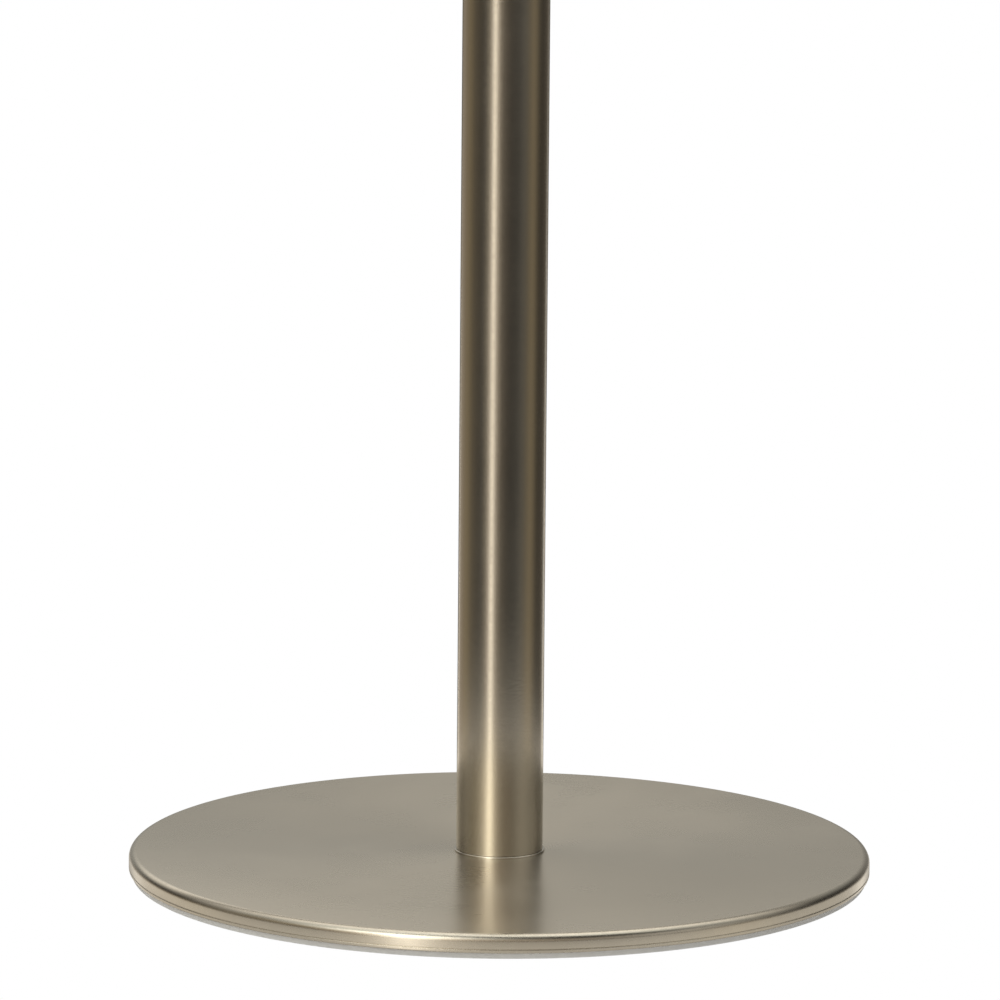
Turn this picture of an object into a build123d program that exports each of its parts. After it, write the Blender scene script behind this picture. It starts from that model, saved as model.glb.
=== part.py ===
"""Flag pole stand: a weighted round base, a socket tube and a screw clamp for the pole.

Millimetres. +Z is up along the tube's axis and z = 0 is the floor. The clamp screw points along +X.
"""
from build123d import *

import os

# ---------------------------------------------------------------- driving sizes
# Flag pole and the socket that takes it
pole_diameter = 28.0        # largest pole that goes in
socket_clearance = 0.25     # room all round the pole
bush_wall = 1.7             # plastic wall between the pole and the tube
tube_wall = 1.5
total_height = 600.0        # floor to the top of the mouth bush

# Base, from the floor upwards
cover_radius = 150.0        # outside of the spun cover
sheet = 1.2                 # cover's sheet thickness
cover_edge_radius = 3.1     # roll between the cover's top and its skirt
hem_height = 1.5            # skirt's lower edge, folded inwards
hem_line = 0.25             # depth of the fine line above the hem
ring_show = 2.4             # height of the soft ring seen under the skirt
ring_inset = 1.3            # how far the ring stands back from the skirt
ring_flange = 2.0           # ring's thickness under the ballast
ring_flange_width = 8.0     # width of that flange, which is what stands on the floor
ring_lip = 1.6              # ring's upright lip between ballast and skirt
ring_lip_height = 4.0       # lip's height over the flange
felt_thickness = 1.2        # sheet stuck under the ballast, clear of the floor
felt_window = 15.0          # radius of its hole for reaching the centre screw
ballast_thickness = 6.3
ballast_chamfer = 1.0
liner_thickness = 0.5       # stops the cover drumming on the ballast

# Joint between base and tube
washer_thickness = 0.8      # bright ring under the tube's end
washer_overhang = 0.8       # how far it shows round the tube
washer_roll = 0.3           # radius of its top edge
plug_length = 30.0          # turned plug in the tube's lower end
screw_radius = 5.0          # M10 countersunk screw up through the base
screw_length = 35.0
screw_head_radius = 10.0
screw_head_land = 0.3       # straight edge of the head
screw_sink = 0.2            # head's depth inside the ballast
screw_key = 6.0             # width of its hexagon socket
screw_key_depth = 3.4
pin_radius = 2.0            # pin that stops the tube turning on the base
pin_sink = 2.6              # its depth in the ballast
pin_rise = 8.0              # its height in the plug

# Inside the tube
rest_thickness = 3.0        # rubber that the pole stands on
rest_gap = 0.5              # rest pad's room inside the tube
guide_length = 30.0         # ring that centres the pole's foot
guide_mouth = 1.2           # its entry chamfer

# Mouth bush and collar
bush_length = 60.0          # inside the tube
bush_flange = 3.0           # over the tube's end
bush_mouth = 1.0            # entry chamfer
bush_flange_setback = 1.0   # from the collar's outside
bush_flange_roll = 1.0      # radius of the flange's top edge
collar_wall = 3.95
collar_height = 32.0
collar_edge = 0.8           # chamfers at both ends
collar_groove = 0.5         # depth of the two turned lines
collar_groove_from_end = 4.0
set_screw_radius = 2.5      # M5 grub screws that hold the collar
set_screw_key = 2.5
set_screw_key_depth = 2.0
set_screw_recess = 0.4
set_screw_angles = (120, 240)

# Clamp screw
clamp_drop = 19.0           # clamp's axis below the top of the mouth bush
clamp_radius = 4.0          # M8 screw
clamp_pitch = 1.25
clamp_turns = 2.5           # from fully open to its stop
thread_clearance = 0.1
boss_radius = 8.0           # threaded boss brazed to the collar
boss_length = 9.0
boss_seat = 1.2             # depth of its flat seat in the collar
boss_edge = 0.6
pad_radius = 4.5            # nylon pad that presses on the pole
pad_thickness = 2.7
pad_retreat = 0.35          # pad's front behind the bore when open
pad_clearance = 0.3         # room round the pad in its holes
spigot_radius = 2.4         # button on the screw's end, snapped into the pad
spigot_neck_radius = 1.9
spigot_length = 1.7
spigot_neck_length = 0.7
swivel_gap = 0.05           # running room between button and pad
knob_gap = 1.5              # knob to boss when screwed right in
knob_radius = 14.0
knob_grip_length = 14.0
knob_neck_radius = 8.0
knob_neck_length = 5.0
knob_edge = 1.0
knob_dish = 0.8             # depth of the turned dish in its end
stud_depth_in_knob = 11.0
knob_pin_radius = 1.25      # spring pin through the knob's neck
knob_pin_short = 0.3        # its ends behind the neck's surface

# Fits and broken edges
slip_gap = 0.05             # radial gap of a pushed-in or screwed-in piece
screw_room = 0.5            # room round the centre screw in its clearance holes
tap_room = 1.0              # tapped hole's depth past the centre screw's end
deburr = 0.3                # tube's ends
small_edge = 0.4            # pins and the clamp pad
soft_edge = 0.5             # edge ring
turned_edge = 1.0           # plug and centre screw
stud_edge = 0.6             # clamp screw's shoulder
overrun = 1.0               # how far a cutter runs past a surface

# ---------------------------------------------------------------- sizes that follow
bore_radius = pole_diameter / 2 + socket_clearance
tube_inner = bore_radius + bush_wall + slip_gap
tube_outer = tube_inner + tube_wall
plug_radius = tube_inner - slip_gap

ballast_bottom = ring_flange
ballast_top = ballast_bottom + ballast_thickness
liner_top = ballast_top + liner_thickness
cover_top = liner_top + sheet
washer_top = cover_top + washer_thickness
plug_top = washer_top + plug_length
rest_top = plug_top + rest_thickness

hem_inner = cover_radius - 2 * sheet
lip_outer = hem_inner - slip_gap
lip_inner = lip_outer - ring_lip
ballast_radius = lip_inner - slip_gap
ring_outer = cover_radius - ring_inset
flange_inner = lip_inner - ring_flange_width + ring_lip
screw_hole = screw_radius + screw_room
pin_offset = (screw_radius + plug_radius) / 2

tube_top = total_height - bush_flange
collar_outer = tube_outer + slip_gap + collar_wall
collar_bottom = tube_top - collar_height
clamp_height = total_height - clamp_drop
clamp_travel = clamp_pitch * clamp_turns
pad_front = bore_radius + pad_retreat
pad_back = pad_front + pad_thickness
boss_inner = collar_outer - boss_seat
boss_outer = boss_inner + boss_length
knob_inner = boss_outer + knob_gap + clamp_travel
knob_outer = knob_inner + knob_neck_length + knob_grip_length


# ---------------------------------------------------------------- helpers
def turned(outline):
    """Spin a closed outline of (radius, height) points about the stand's axis."""
    return revolve(make_face(Plane.XZ * Polyline(*outline, close=True)), Axis.Z)


def turned_across(outline):
    """Spin an outline of (distance from the stand's axis, radius) about the clamp screw's axis."""
    solid = revolve(make_face(Plane.XZ * Polyline(*outline, close=True)), Axis.X)
    return Pos(0, 0, clamp_height) * solid


def rod(radius, bottom, top, x=0.0):
    """Upright cylinder between two heights, x from the stand's axis."""
    return Pos(x, 0, (bottom + top) / 2) * Cylinder(radius, top - bottom)


def cross_rod(radius, inner, outer, angle=0.0):
    """Level cylinder at the clamp's height that points away from the stand's axis, angled from +X."""
    level = Pos((inner + outer) / 2, 0, clamp_height) * Rot(0, 90, 0) * Cylinder(radius, outer - inner)
    return Rot(0, 0, angle) * level


def hex_bar(width, length):
    """Hexagon bar across flats, standing on the XY plane."""
    return extrude(RegularPolygon(width / 2, 6, major_radius=False), length)


def round_edges(part, radius, height):
    """Circular edges of a turned piece at one radius and height."""
    circles = part.edges().filter_by(GeomType.CIRCLE)
    return [e for e in circles if abs(e.radius - radius) < 1e-3 and abs(e.arc_center.Z - height) < 1e-3]


def level_edges(part, radius, distance):
    """Circular edges of a piece turned about the clamp screw's axis, at one radius and distance."""
    circles = part.edges().filter_by(GeomType.CIRCLE)
    return [e for e in circles if abs(e.radius - radius) < 1e-3 and abs(e.arc_center.X - distance) < 1e-3]


# ---------------------------------------------------------------- base
def base_cover():
    """Spun sheet cover: flat top, rolled edge, short skirt with its hem folded inwards."""
    inner = cover_radius - sheet
    hem_top = ring_show + hem_height
    cover = turned([
        (screw_hole, cover_top),
        (cover_radius, cover_top),
        (cover_radius, hem_top + hem_line),
        (cover_radius - hem_line, hem_top),
        (cover_radius, hem_top - hem_line),
        (cover_radius, ring_show),
        (hem_inner, ring_show),
        (hem_inner, hem_top),
        (inner, hem_top),
        (inner, liner_top),
        (screw_hole, liner_top),
    ])
    cover = fillet(round_edges(cover, cover_radius, cover_top), cover_edge_radius)
    cover = fillet(round_edges(cover, inner, liner_top), cover_edge_radius - sheet)
    cover = fillet(round_edges(cover, cover_radius, ring_show), sheet / 2)
    cover = fillet(round_edges(cover, hem_inner, ring_show), sheet / 2)
    return cover - pin_hole()


def cover_liner():
    """Thin foam sheet between cover and ballast, on the ballast's flat top."""
    return rod(ballast_radius - ballast_chamfer, ballast_top, liner_top) - screw_way() - pin_hole()


def ballast_disc():
    """Cast iron weight, countersunk from below for the centre screw."""
    disc = rod(ballast_radius, ballast_bottom, ballast_top)
    edges = round_edges(disc, ballast_radius, ballast_top) + round_edges(disc, ballast_radius, ballast_bottom)
    disc = chamfer(edges, ballast_chamfer)
    return disc - screw_way() - screw_head(slip_gap, screw_sink) - pin_hole()


def floor_ring():
    """Soft edge ring: stands on the floor, lies under the ballast and tucks up inside the skirt."""
    ring = turned([
        (flange_inner, 0),
        (ring_outer, 0),
        (ring_outer, ring_show),
        (lip_outer, ring_show),
        (lip_outer, ring_flange + ring_lip_height),
        (lip_inner, ring_flange + ring_lip_height),
        (lip_inner, ring_flange),
        (flange_inner, ring_flange),
    ])
    ring = fillet(round_edges(ring, ring_outer, 0), soft_edge)
    return chamfer(round_edges(ring, lip_outer, ring_flange + ring_lip_height), soft_edge)


def underside_felt():
    """Sheet stuck to the underside, with a window round the centre screw."""
    sheet_radius = flange_inner - 2 * slip_gap
    bottom = ballast_bottom - felt_thickness
    return rod(sheet_radius, bottom, ballast_bottom) - rod(felt_window, bottom, ballast_bottom)


# ---------------------------------------------------------------- joint between base and tube
def screw_way():
    """Clearance hole of the centre screw through the base."""
    return rod(screw_hole, 0, cover_top)


def screw_head(grow=0.0, sink=0.0):
    """Countersunk head, point up; it can be grown and run out of the ballast's underside."""
    seat = ballast_bottom + screw_sink
    radius = screw_head_radius + grow
    land_top = seat + screw_head_land
    return turned([
        (0, seat - sink),
        (radius, seat - sink),
        (radius, land_top),
        (screw_radius, land_top + radius - screw_radius),
        (0, land_top + radius - screw_radius),
    ])


def centre_screw():
    """Countersunk socket screw that pulls base and tube together."""
    bottom = ballast_bottom + screw_sink
    top = bottom + screw_length
    shank = chamfer(round_edges(rod(screw_radius, bottom, top), screw_radius, top), turned_edge)
    key = Pos(0, 0, bottom) * hex_bar(screw_key, screw_key_depth)
    return screw_head() + shank - key


def pin_hole():
    """Room for the locating pin."""
    return rod(pin_radius + slip_gap, ballast_top - pin_sink, washer_top + pin_rise, pin_offset)


def locating_pin():
    """Hardened pin from ballast to plug, off the axis, so the tube can't turn."""
    bottom = ballast_top - pin_sink
    top = washer_top + pin_rise
    pin = rod(pin_radius, bottom, top, pin_offset)
    return chamfer(round_edges(pin, pin_radius, top) + round_edges(pin, pin_radius, bottom), small_edge)


def foot_washer():
    """Bright ring between the tube's end and the cover."""
    radius = tube_outer + washer_overhang
    washer = rod(radius, cover_top, washer_top) - rod(screw_hole, cover_top, washer_top)
    washer = fillet(round_edges(washer, radius, washer_top), washer_roll)
    return washer - pin_hole()


def foot_plug():
    """Turned steel plug in the tube's lower end, tapped from below."""
    plug = chamfer(round_edges(rod(plug_radius, washer_top, plug_top), plug_radius, plug_top), turned_edge)
    screw_end = ballast_bottom + screw_sink + screw_length
    return plug - rod(screw_radius + slip_gap, washer_top, screw_end + tap_room) - pin_hole()


# ---------------------------------------------------------------- tube and what is in it
def pad_way():
    """Hole through tube and bush for the clamp pad."""
    return cross_rod(pad_radius + pad_clearance, 0, tube_outer + slip_gap / 2)


def stand_tube():
    """Socket tube with a hole for the clamp pad near its mouth."""
    tube = rod(tube_outer, washer_top, tube_top) - rod(tube_inner, washer_top, tube_top)
    ends = round_edges(tube, tube_outer, washer_top) + round_edges(tube, tube_inner, tube_top)
    return chamfer(ends, deburr) - pad_way()


def pole_rest_pad():
    """Rubber disc on the plug, which the pole stands on."""
    return rod(tube_inner - rest_gap, plug_top, rest_top)


def lower_guide():
    """Plastic ring above the rest pad that centres the pole's foot."""
    top = rest_top + guide_length
    outer = tube_inner - slip_gap
    return turned([
        (bore_radius, rest_top),
        (outer, rest_top),
        (outer, top),
        (bore_radius + guide_mouth, top),
        (bore_radius, top - 2 * guide_mouth),
    ])


def upper_bush():
    """Flanged plastic bush in the tube's mouth, with a hole for the clamp pad."""
    outer = tube_inner - slip_gap
    flange = collar_outer - bush_flange_setback
    bush = turned([
        (bore_radius, tube_top - bush_length),
        (outer, tube_top - bush_length),
        (outer, tube_top),
        (flange, tube_top),
        (flange, total_height),
        (bore_radius + bush_mouth, total_height),
        (bore_radius, total_height - bush_mouth),
    ])
    return fillet(round_edges(bush, flange, total_height), bush_flange_roll) - pad_way()


# ---------------------------------------------------------------- collar
def clamp_collar():
    """Turned collar round the tube's mouth, with two turned lines and a flat seat for the boss."""
    collar = rod(collar_outer, collar_bottom, tube_top)
    for end in (collar_bottom, tube_top):
        collar = chamfer(round_edges(collar, collar_outer, end), collar_edge)
    collar -= rod(tube_outer + slip_gap, collar_bottom, tube_top)
    for line in (collar_bottom + collar_groove_from_end, tube_top - collar_groove_from_end):
        collar -= turned([
            (collar_outer + overrun, line + collar_groove + overrun),
            (collar_outer - collar_groove, line),
            (collar_outer + overrun, line - collar_groove - overrun),
        ])
    collar -= cross_rod(boss_radius + slip_gap, boss_inner, collar_outer + boss_length)
    collar -= cross_rod(clamp_radius + thread_clearance, 0, collar_outer)
    collar -= cross_rod(pad_radius + pad_clearance, 0, pad_back + pad_clearance)
    for angle in set_screw_angles:
        collar -= cross_rod(set_screw_radius + slip_gap, tube_inner, collar_outer + overrun, angle)
    return collar


def collar_set_screws():
    """Two grub screws that hold the collar on the tube."""
    inner = tube_outer
    outer = collar_outer - set_screw_recess
    screws = Part()
    for angle in set_screw_angles:
        key = Pos(outer - set_screw_key_depth, 0, clamp_height) * Rot(0, 90, 0) * hex_bar(
            set_screw_key, set_screw_key_depth)
        screws += cross_rod(set_screw_radius, inner, outer, angle) - Rot(0, 0, angle) * key
    return screws


def clamp_boss():
    """Tapped boss brazed into the collar's seat."""
    boss = cross_rod(boss_radius, boss_inner, boss_outer)
    boss = chamfer(level_edges(boss, boss_radius, boss_outer), boss_edge)
    return boss - cross_rod(clamp_radius + thread_clearance, boss_inner, boss_outer)


# ---------------------------------------------------------------- clamp screw
def spigot_outline(grow):
    """Snap button's outline, from its front face back to the screw's shoulder, grown by a gap."""
    shoulder = pad_back + swivel_gap
    neck = shoulder - spigot_neck_length
    return [
        (shoulder - spigot_length - grow, 0),
        (shoulder - spigot_length - grow, spigot_radius + grow),
        (neck + grow, spigot_radius + grow),
        (neck + grow, spigot_neck_radius + grow),
        (shoulder, spigot_neck_radius + grow),
        (shoulder, 0),
    ]


def clamp_pad():
    """Nylon pad: stays still against the pole while the screw turns in it."""
    pad = turned_across([(pad_front, 0), (pad_front, pad_radius), (pad_back, pad_radius), (pad_back, 0)])
    pad = chamfer(level_edges(pad, pad_radius, pad_front), small_edge)
    return pad - turned_across(spigot_outline(swivel_gap))


def clamp_screw():
    """Stud through the boss: snap button at one end, pinned into the knob at the other."""
    shoulder = pad_back + swivel_gap
    stud = turned_across([
        (shoulder, 0),
        (shoulder, clamp_radius - stud_edge),
        (shoulder + stud_edge, clamp_radius),
        (knob_inner + stud_depth_in_knob, clamp_radius),
        (knob_inner + stud_depth_in_knob, 0),
    ])
    return stud + turned_across(spigot_outline(0)) - knob_pin_hole()


def clamp_knob():
    """Round hand knob with a neck, chamfered grip and dished end."""
    grip = knob_inner + knob_neck_length
    dish_radius = knob_radius - 3 * knob_edge
    knob = turned_across([
        (knob_inner, 0),
        (knob_inner, knob_neck_radius - knob_edge / 2),
        (knob_inner + knob_edge / 2, knob_neck_radius),
        (grip, knob_neck_radius),
        (grip, knob_radius - knob_edge),
        (grip + knob_edge, knob_radius),
        (knob_outer - knob_edge, knob_radius),
        (knob_outer, knob_radius - knob_edge),
        (knob_outer, dish_radius),
        (knob_outer - knob_dish, dish_radius - knob_dish),
        (knob_outer - knob_dish, 0),
    ])
    bore = cross_rod(clamp_radius + slip_gap, knob_inner, knob_inner + stud_depth_in_knob)
    return knob - bore - knob_pin_hole()


def knob_pin_bar(radius):
    """Level bar along Y through the middle of the knob's neck."""
    middle = knob_inner + knob_neck_length / 2
    return Pos(middle, 0, clamp_height) * Rot(90, 0, 0) * Cylinder(radius, 2 * knob_neck_radius)


def knob_pin_hole():
    """Hole for the spring pin through neck and stud."""
    return knob_pin_bar(knob_pin_radius + slip_gap)


def knob_pin():
    """Spring pin that fixes the knob to the stud, a little short of the neck's surface."""
    inside = cross_rod(knob_neck_radius - knob_pin_short, knob_inner, knob_inner + knob_neck_length)
    return knob_pin_bar(knob_pin_radius) & inside


SUB_PARTS = {
    "base_cover": base_cover,
    "cover_liner": cover_liner,
    "ballast_disc": ballast_disc,
    "floor_ring": floor_ring,
    "underside_felt": underside_felt,
    "centre_screw": centre_screw,
    "locating_pin": locating_pin,
    "foot_washer": foot_washer,
    "foot_plug": foot_plug,
    "stand_tube": stand_tube,
    "pole_rest_pad": pole_rest_pad,
    "lower_guide": lower_guide,
    "upper_bush": upper_bush,
    "clamp_collar": clamp_collar,
    "collar_set_screws": collar_set_screws,
    "clamp_boss": clamp_boss,
    "clamp_screw": clamp_screw,
    "clamp_knob": clamp_knob,
    "knob_pin": knob_pin,
    "clamp_pad": clamp_pad,
}

os.makedirs("parts", exist_ok=True)
for name, build in SUB_PARTS.items():
    export_step(build(), f"parts/{name}.step")
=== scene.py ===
import logging
import math
from dataclasses import dataclass, field
from enum import Enum
from typing import Sequence

import bmesh
import bpy
from mathutils import Matrix, Vector


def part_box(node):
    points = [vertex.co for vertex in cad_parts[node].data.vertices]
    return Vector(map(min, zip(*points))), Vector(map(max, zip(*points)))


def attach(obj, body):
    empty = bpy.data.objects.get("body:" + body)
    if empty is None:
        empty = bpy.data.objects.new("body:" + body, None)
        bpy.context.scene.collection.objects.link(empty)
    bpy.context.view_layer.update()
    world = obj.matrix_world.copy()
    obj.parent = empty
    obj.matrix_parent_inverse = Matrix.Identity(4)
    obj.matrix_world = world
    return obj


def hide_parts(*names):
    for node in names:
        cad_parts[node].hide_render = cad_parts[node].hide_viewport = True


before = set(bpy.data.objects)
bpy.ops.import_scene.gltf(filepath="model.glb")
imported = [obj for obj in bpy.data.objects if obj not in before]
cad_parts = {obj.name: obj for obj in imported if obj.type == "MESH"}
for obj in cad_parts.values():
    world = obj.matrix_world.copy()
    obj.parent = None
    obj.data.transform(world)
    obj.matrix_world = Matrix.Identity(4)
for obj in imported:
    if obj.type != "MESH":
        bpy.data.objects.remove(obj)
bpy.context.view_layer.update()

MM = 0.001
TAU = 2 * math.pi
SLIVER = 1e-7
FILM_PATCH = 22 * MM
ARC_END_WEAR = 0.4
HAIRLINE = 0.05 * MM
PAD_HOLE = 4.8 * MM
SCREW_HOLE = 5.5 * MM

log = logging.getLogger("flag_pole_stand")

Colour = tuple[float, float, float]
OutlinePoint = tuple[float, float, float]


class Body(Enum):
    """The rigid bodies that the pieces ride on."""

    STAND = "stand"
    PAD = "clamp_pad"
    SCREW = "clamp_screw"


class Axis(Enum):
    """The two lines that this stand's turned pieces are turned about."""

    UPRIGHT = "the tube's axis"
    CLAMP = "the clamp screw's axis"


# ---------------------------------------------------------------- node tree helper
class Sheet:
    """Adds and joins nodes in one node tree, so that each finish reads as a short recipe."""

    def __init__(self, tree: bpy.types.NodeTree) -> None:
        """Start on a tree.

        Args:
            tree: the shader, world or geometry tree to write in.
        """
        self.tree = tree

    def add(self, kind: str, **settings: object) -> bpy.types.Node:
        """Add one node.

        Args:
            kind: Blender's name for the node type.
            settings: properties to set on it.

        Returns:
            The new node.
        """
        node = self.tree.nodes.new(kind)
        for name, value in settings.items():
            setattr(node, name, value)
        return node

    def feed(self, socket: bpy.types.NodeSocket, source: object) -> None:
        """Give a socket its value.

        Args:
            socket: the input to fill.
            source: another node's socket to link from, or a plain value.
        """
        if isinstance(source, bpy.types.NodeSocket):
            self.tree.links.new(source, socket)
        else:
            socket.default_value = source

    def math(self, operation: str, *values: object) -> bpy.types.NodeSocket:
        """Arithmetic on numbers or sockets.

        Args:
            operation: Blender's name for the operation.
            values: its operands in order.

        Returns:
            The result's socket.
        """
        node = self.add("ShaderNodeMath", operation=operation)
        for socket, value in zip(node.inputs, values):
            self.feed(socket, value)
        return node.outputs[0]

    def ramp(self, value: object, low: float, high: float, to_low: float,
             to_high: float) -> bpy.types.NodeSocket:
        """Smooth step of a value from one range to another, held at both ends.

        Args:
            value: number or socket to map.
            low: where the step starts.
            high: where it ends.
            to_low: result at and below the start.
            to_high: result at and above the end.

        Returns:
            The result's socket.
        """
        node = self.add("ShaderNodeMapRange", interpolation_type="SMOOTHSTEP")
        for name, source in zip(("Value", "From Min", "From Max", "To Min", "To Max"),
                                (value, low, high, to_low, to_high)):
            self.feed(node.inputs[name], source)
        return node.outputs["Result"]

    def blend(self, factor: object, first: object, second: object) -> bpy.types.NodeSocket:
        """Mix of two colours.

        Args:
            factor: 0 for the first colour, 1 for the second.
            first: colour or socket.
            second: colour or socket.

        Returns:
            The mixed colour's socket.
        """
        node = self.add("ShaderNodeMix", data_type="RGBA")
        self.feed(node.inputs["Factor"], factor)
        self.feed(node.inputs[6], _rgba(first))
        self.feed(node.inputs[7], _rgba(second))
        return node.outputs[2]

    def noise(self, vector: object, scale: object, detail: float = 3.0) -> bpy.types.NodeSocket:
        """Fractal noise from 0 to 1.

        Args:
            vector: position to read it at.
            scale: cells for each metre.
            detail: octaves.

        Returns:
            The noise's socket.
        """
        node = self.add("ShaderNodeTexNoise")
        self.feed(node.inputs["Vector"], vector)
        self.feed(node.inputs["Scale"], scale)
        node.inputs["Detail"].default_value = detail
        return node.outputs["Fac"]


def _rgba(colour: object) -> object:
    """Give a plain three-number colour its alpha, and leave sockets alone.

    Args:
        colour: a colour or a socket.

    Returns:
        The colour with its alpha, or the same socket.
    """
    if isinstance(colour, tuple) and len(colour) == 3:
        return (*colour, 1.0)
    return colour


# ---------------------------------------------------------------- shared shader groups
class SurfaceEffects:
    """The effects that several finishes share, each a node group built once."""

    def __init__(self) -> None:
        """Build every group."""
        self.grain = self._grain()
        self.spun_lines = self._spun_lines()
        self.edge_wear = self._edge_wear()
        self.dust = self._dust()

    @staticmethod
    def _new_group(name: str, inputs: dict[str, float], outputs: Sequence[str]) -> tuple:
        """Make an empty group of float sockets.

        Args:
            name: the group's name.
            inputs: names and starting values of its inputs.
            outputs: names of its outputs.

        Returns:
            The group, its sheet, its input node and its output node.
        """
        group = bpy.data.node_groups.new(name, "ShaderNodeTree")
        for label, value in inputs.items():
            socket = group.interface.new_socket(label, in_out="INPUT", socket_type="NodeSocketFloat")
            socket.default_value = value
        for label in outputs:
            group.interface.new_socket(label, in_out="OUTPUT", socket_type="NodeSocketFloat")
        sheet = Sheet(group)
        return group, sheet, sheet.add("NodeGroupInput"), sheet.add("NodeGroupOutput")

    def _grain(self) -> bpy.types.NodeTree:
        """Fine even grain of a plated, cast or moulded surface, with slow cloudiness.

        Returns:
            A group that puts out the grain's height and the cloud.
        """
        group, sheet, given, out = self._new_group(
            "fine_grain", {"Grain Size mm": 0.3, "Cloud Size mm": 40.0}, ("Height", "Cloud"))
        where = sheet.add("ShaderNodeTexCoord").outputs["Object"]
        per_metre = sheet.math("DIVIDE", 1 / MM, given.outputs["Grain Size mm"])
        cloud_per_metre = sheet.math("DIVIDE", 1 / MM, given.outputs["Cloud Size mm"])
        sheet.feed(out.inputs["Height"], sheet.noise(where, per_metre, 4.0))
        sheet.feed(out.inputs["Cloud"], sheet.noise(where, cloud_per_metre, 2.0))
        return group

    def _spun_lines(self) -> bpy.types.NodeTree:
        """Faint rings that polishing leaves round the tube's axis: circles on a disc, hoops on a tube.

        Returns:
            A group that puts out the rings' height and their tone.
        """
        group, sheet, given, out = self._new_group(
            "spun_lines", {"Line Spacing mm": 0.5, "Break Up": 6.0}, ("Height", "Tone"))
        where = sheet.add("ShaderNodeSeparateXYZ")
        sheet.feed(where.inputs[0], sheet.add("ShaderNodeTexCoord").outputs["Object"])
        x, y, z = where.outputs
        squares = sheet.math("ADD", sheet.math("MULTIPLY", x, x), sheet.math("MULTIPLY", y, y))
        radius = sheet.math("SQRT", squares)
        across = sheet.math("DIVIDE", sheet.math("ADD", radius, z),
                            sheet.math("MULTIPLY", given.outputs["Line Spacing mm"], MM))
        turn = sheet.math("ARCTAN2", y, x)
        place = sheet.add("ShaderNodeCombineXYZ")
        sheet.feed(place.inputs[0], across)
        for socket, wave in zip(place.inputs[1:], ("COSINE", "SINE")):
            sheet.feed(socket, sheet.math("MULTIPLY", sheet.math(wave, turn), given.outputs["Break Up"]))
        lines = sheet.noise(place.outputs[0], 1.0, 2.0)
        sheet.feed(out.inputs["Height"], lines)
        sheet.feed(out.inputs["Tone"], sheet.ramp(lines, 0.3, 0.7, 0.0, 1.0))
        return group

    def _edge_wear(self) -> bpy.types.NodeTree:
        """Rubbed edges: where the mesh marks an outer edge, broken up by noise.

        Returns:
            A group that puts out the rubbed places' mask.
        """
        group, sheet, given, out = self._new_group(
            "edge_wear", {"Amount": 1.0, "Patch Size mm": 3.0}, ("Mask",))
        where = sheet.add("ShaderNodeTexCoord").outputs["Object"]
        edge = sheet.add("ShaderNodeAttribute", attribute_name="outer_edge").outputs["Fac"]
        per_metre = sheet.math("DIVIDE", 1 / MM, given.outputs["Patch Size mm"])
        patches = sheet.ramp(sheet.noise(where, per_metre, 5.0), 0.38, 0.62, 0.15, 1.0)
        worn = sheet.math("MULTIPLY", sheet.math("MULTIPLY", edge, patches), given.outputs["Amount"])
        sheet.feed(out.inputs["Mask"], worn)
        return group

    def _dust(self) -> bpy.types.NodeTree:
        """Settled dust: a thin film and a few specks, only where the surface faces up.

        Returns:
            A group that puts out the dust's mask.
        """
        group, sheet, given, out = self._new_group(
            "settled_dust", {"Amount": 1.0, "Speck Size mm": 2.4}, ("Mask",))
        where = sheet.add("ShaderNodeTexCoord").outputs["Object"]
        normal = sheet.add("ShaderNodeSeparateXYZ")
        sheet.feed(normal.inputs[0], sheet.add("ShaderNodeNewGeometry").outputs["Normal"])
        upward = sheet.ramp(normal.outputs[2], 0.7, 0.98, 0.0, 1.0)
        cells = sheet.add("ShaderNodeTexVoronoi", feature="F1")
        sheet.feed(cells.inputs["Vector"], where)
        sheet.feed(cells.inputs["Scale"], sheet.math("DIVIDE", 1 / MM, given.outputs["Speck Size mm"]))
        speck = sheet.ramp(cells.outputs["Distance"], 0.05, 0.12, 1.0, 0.0)
        chosen = sheet.add("ShaderNodeSeparateColor")
        sheet.feed(chosen.inputs[0], cells.outputs["Color"])
        rare = sheet.math("GREATER_THAN", chosen.outputs[0], 0.965)
        film = sheet.ramp(sheet.noise(where, 1 / FILM_PATCH, 1.0), 0.40, 0.85, 0.0, 0.10)
        mask = sheet.math("MAXIMUM", sheet.math("MULTIPLY", speck, rare), film)
        shown = sheet.math("MULTIPLY", sheet.math("MULTIPLY", mask, upward), given.outputs["Amount"])
        sheet.feed(out.inputs["Mask"], shown)
        return group


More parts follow.
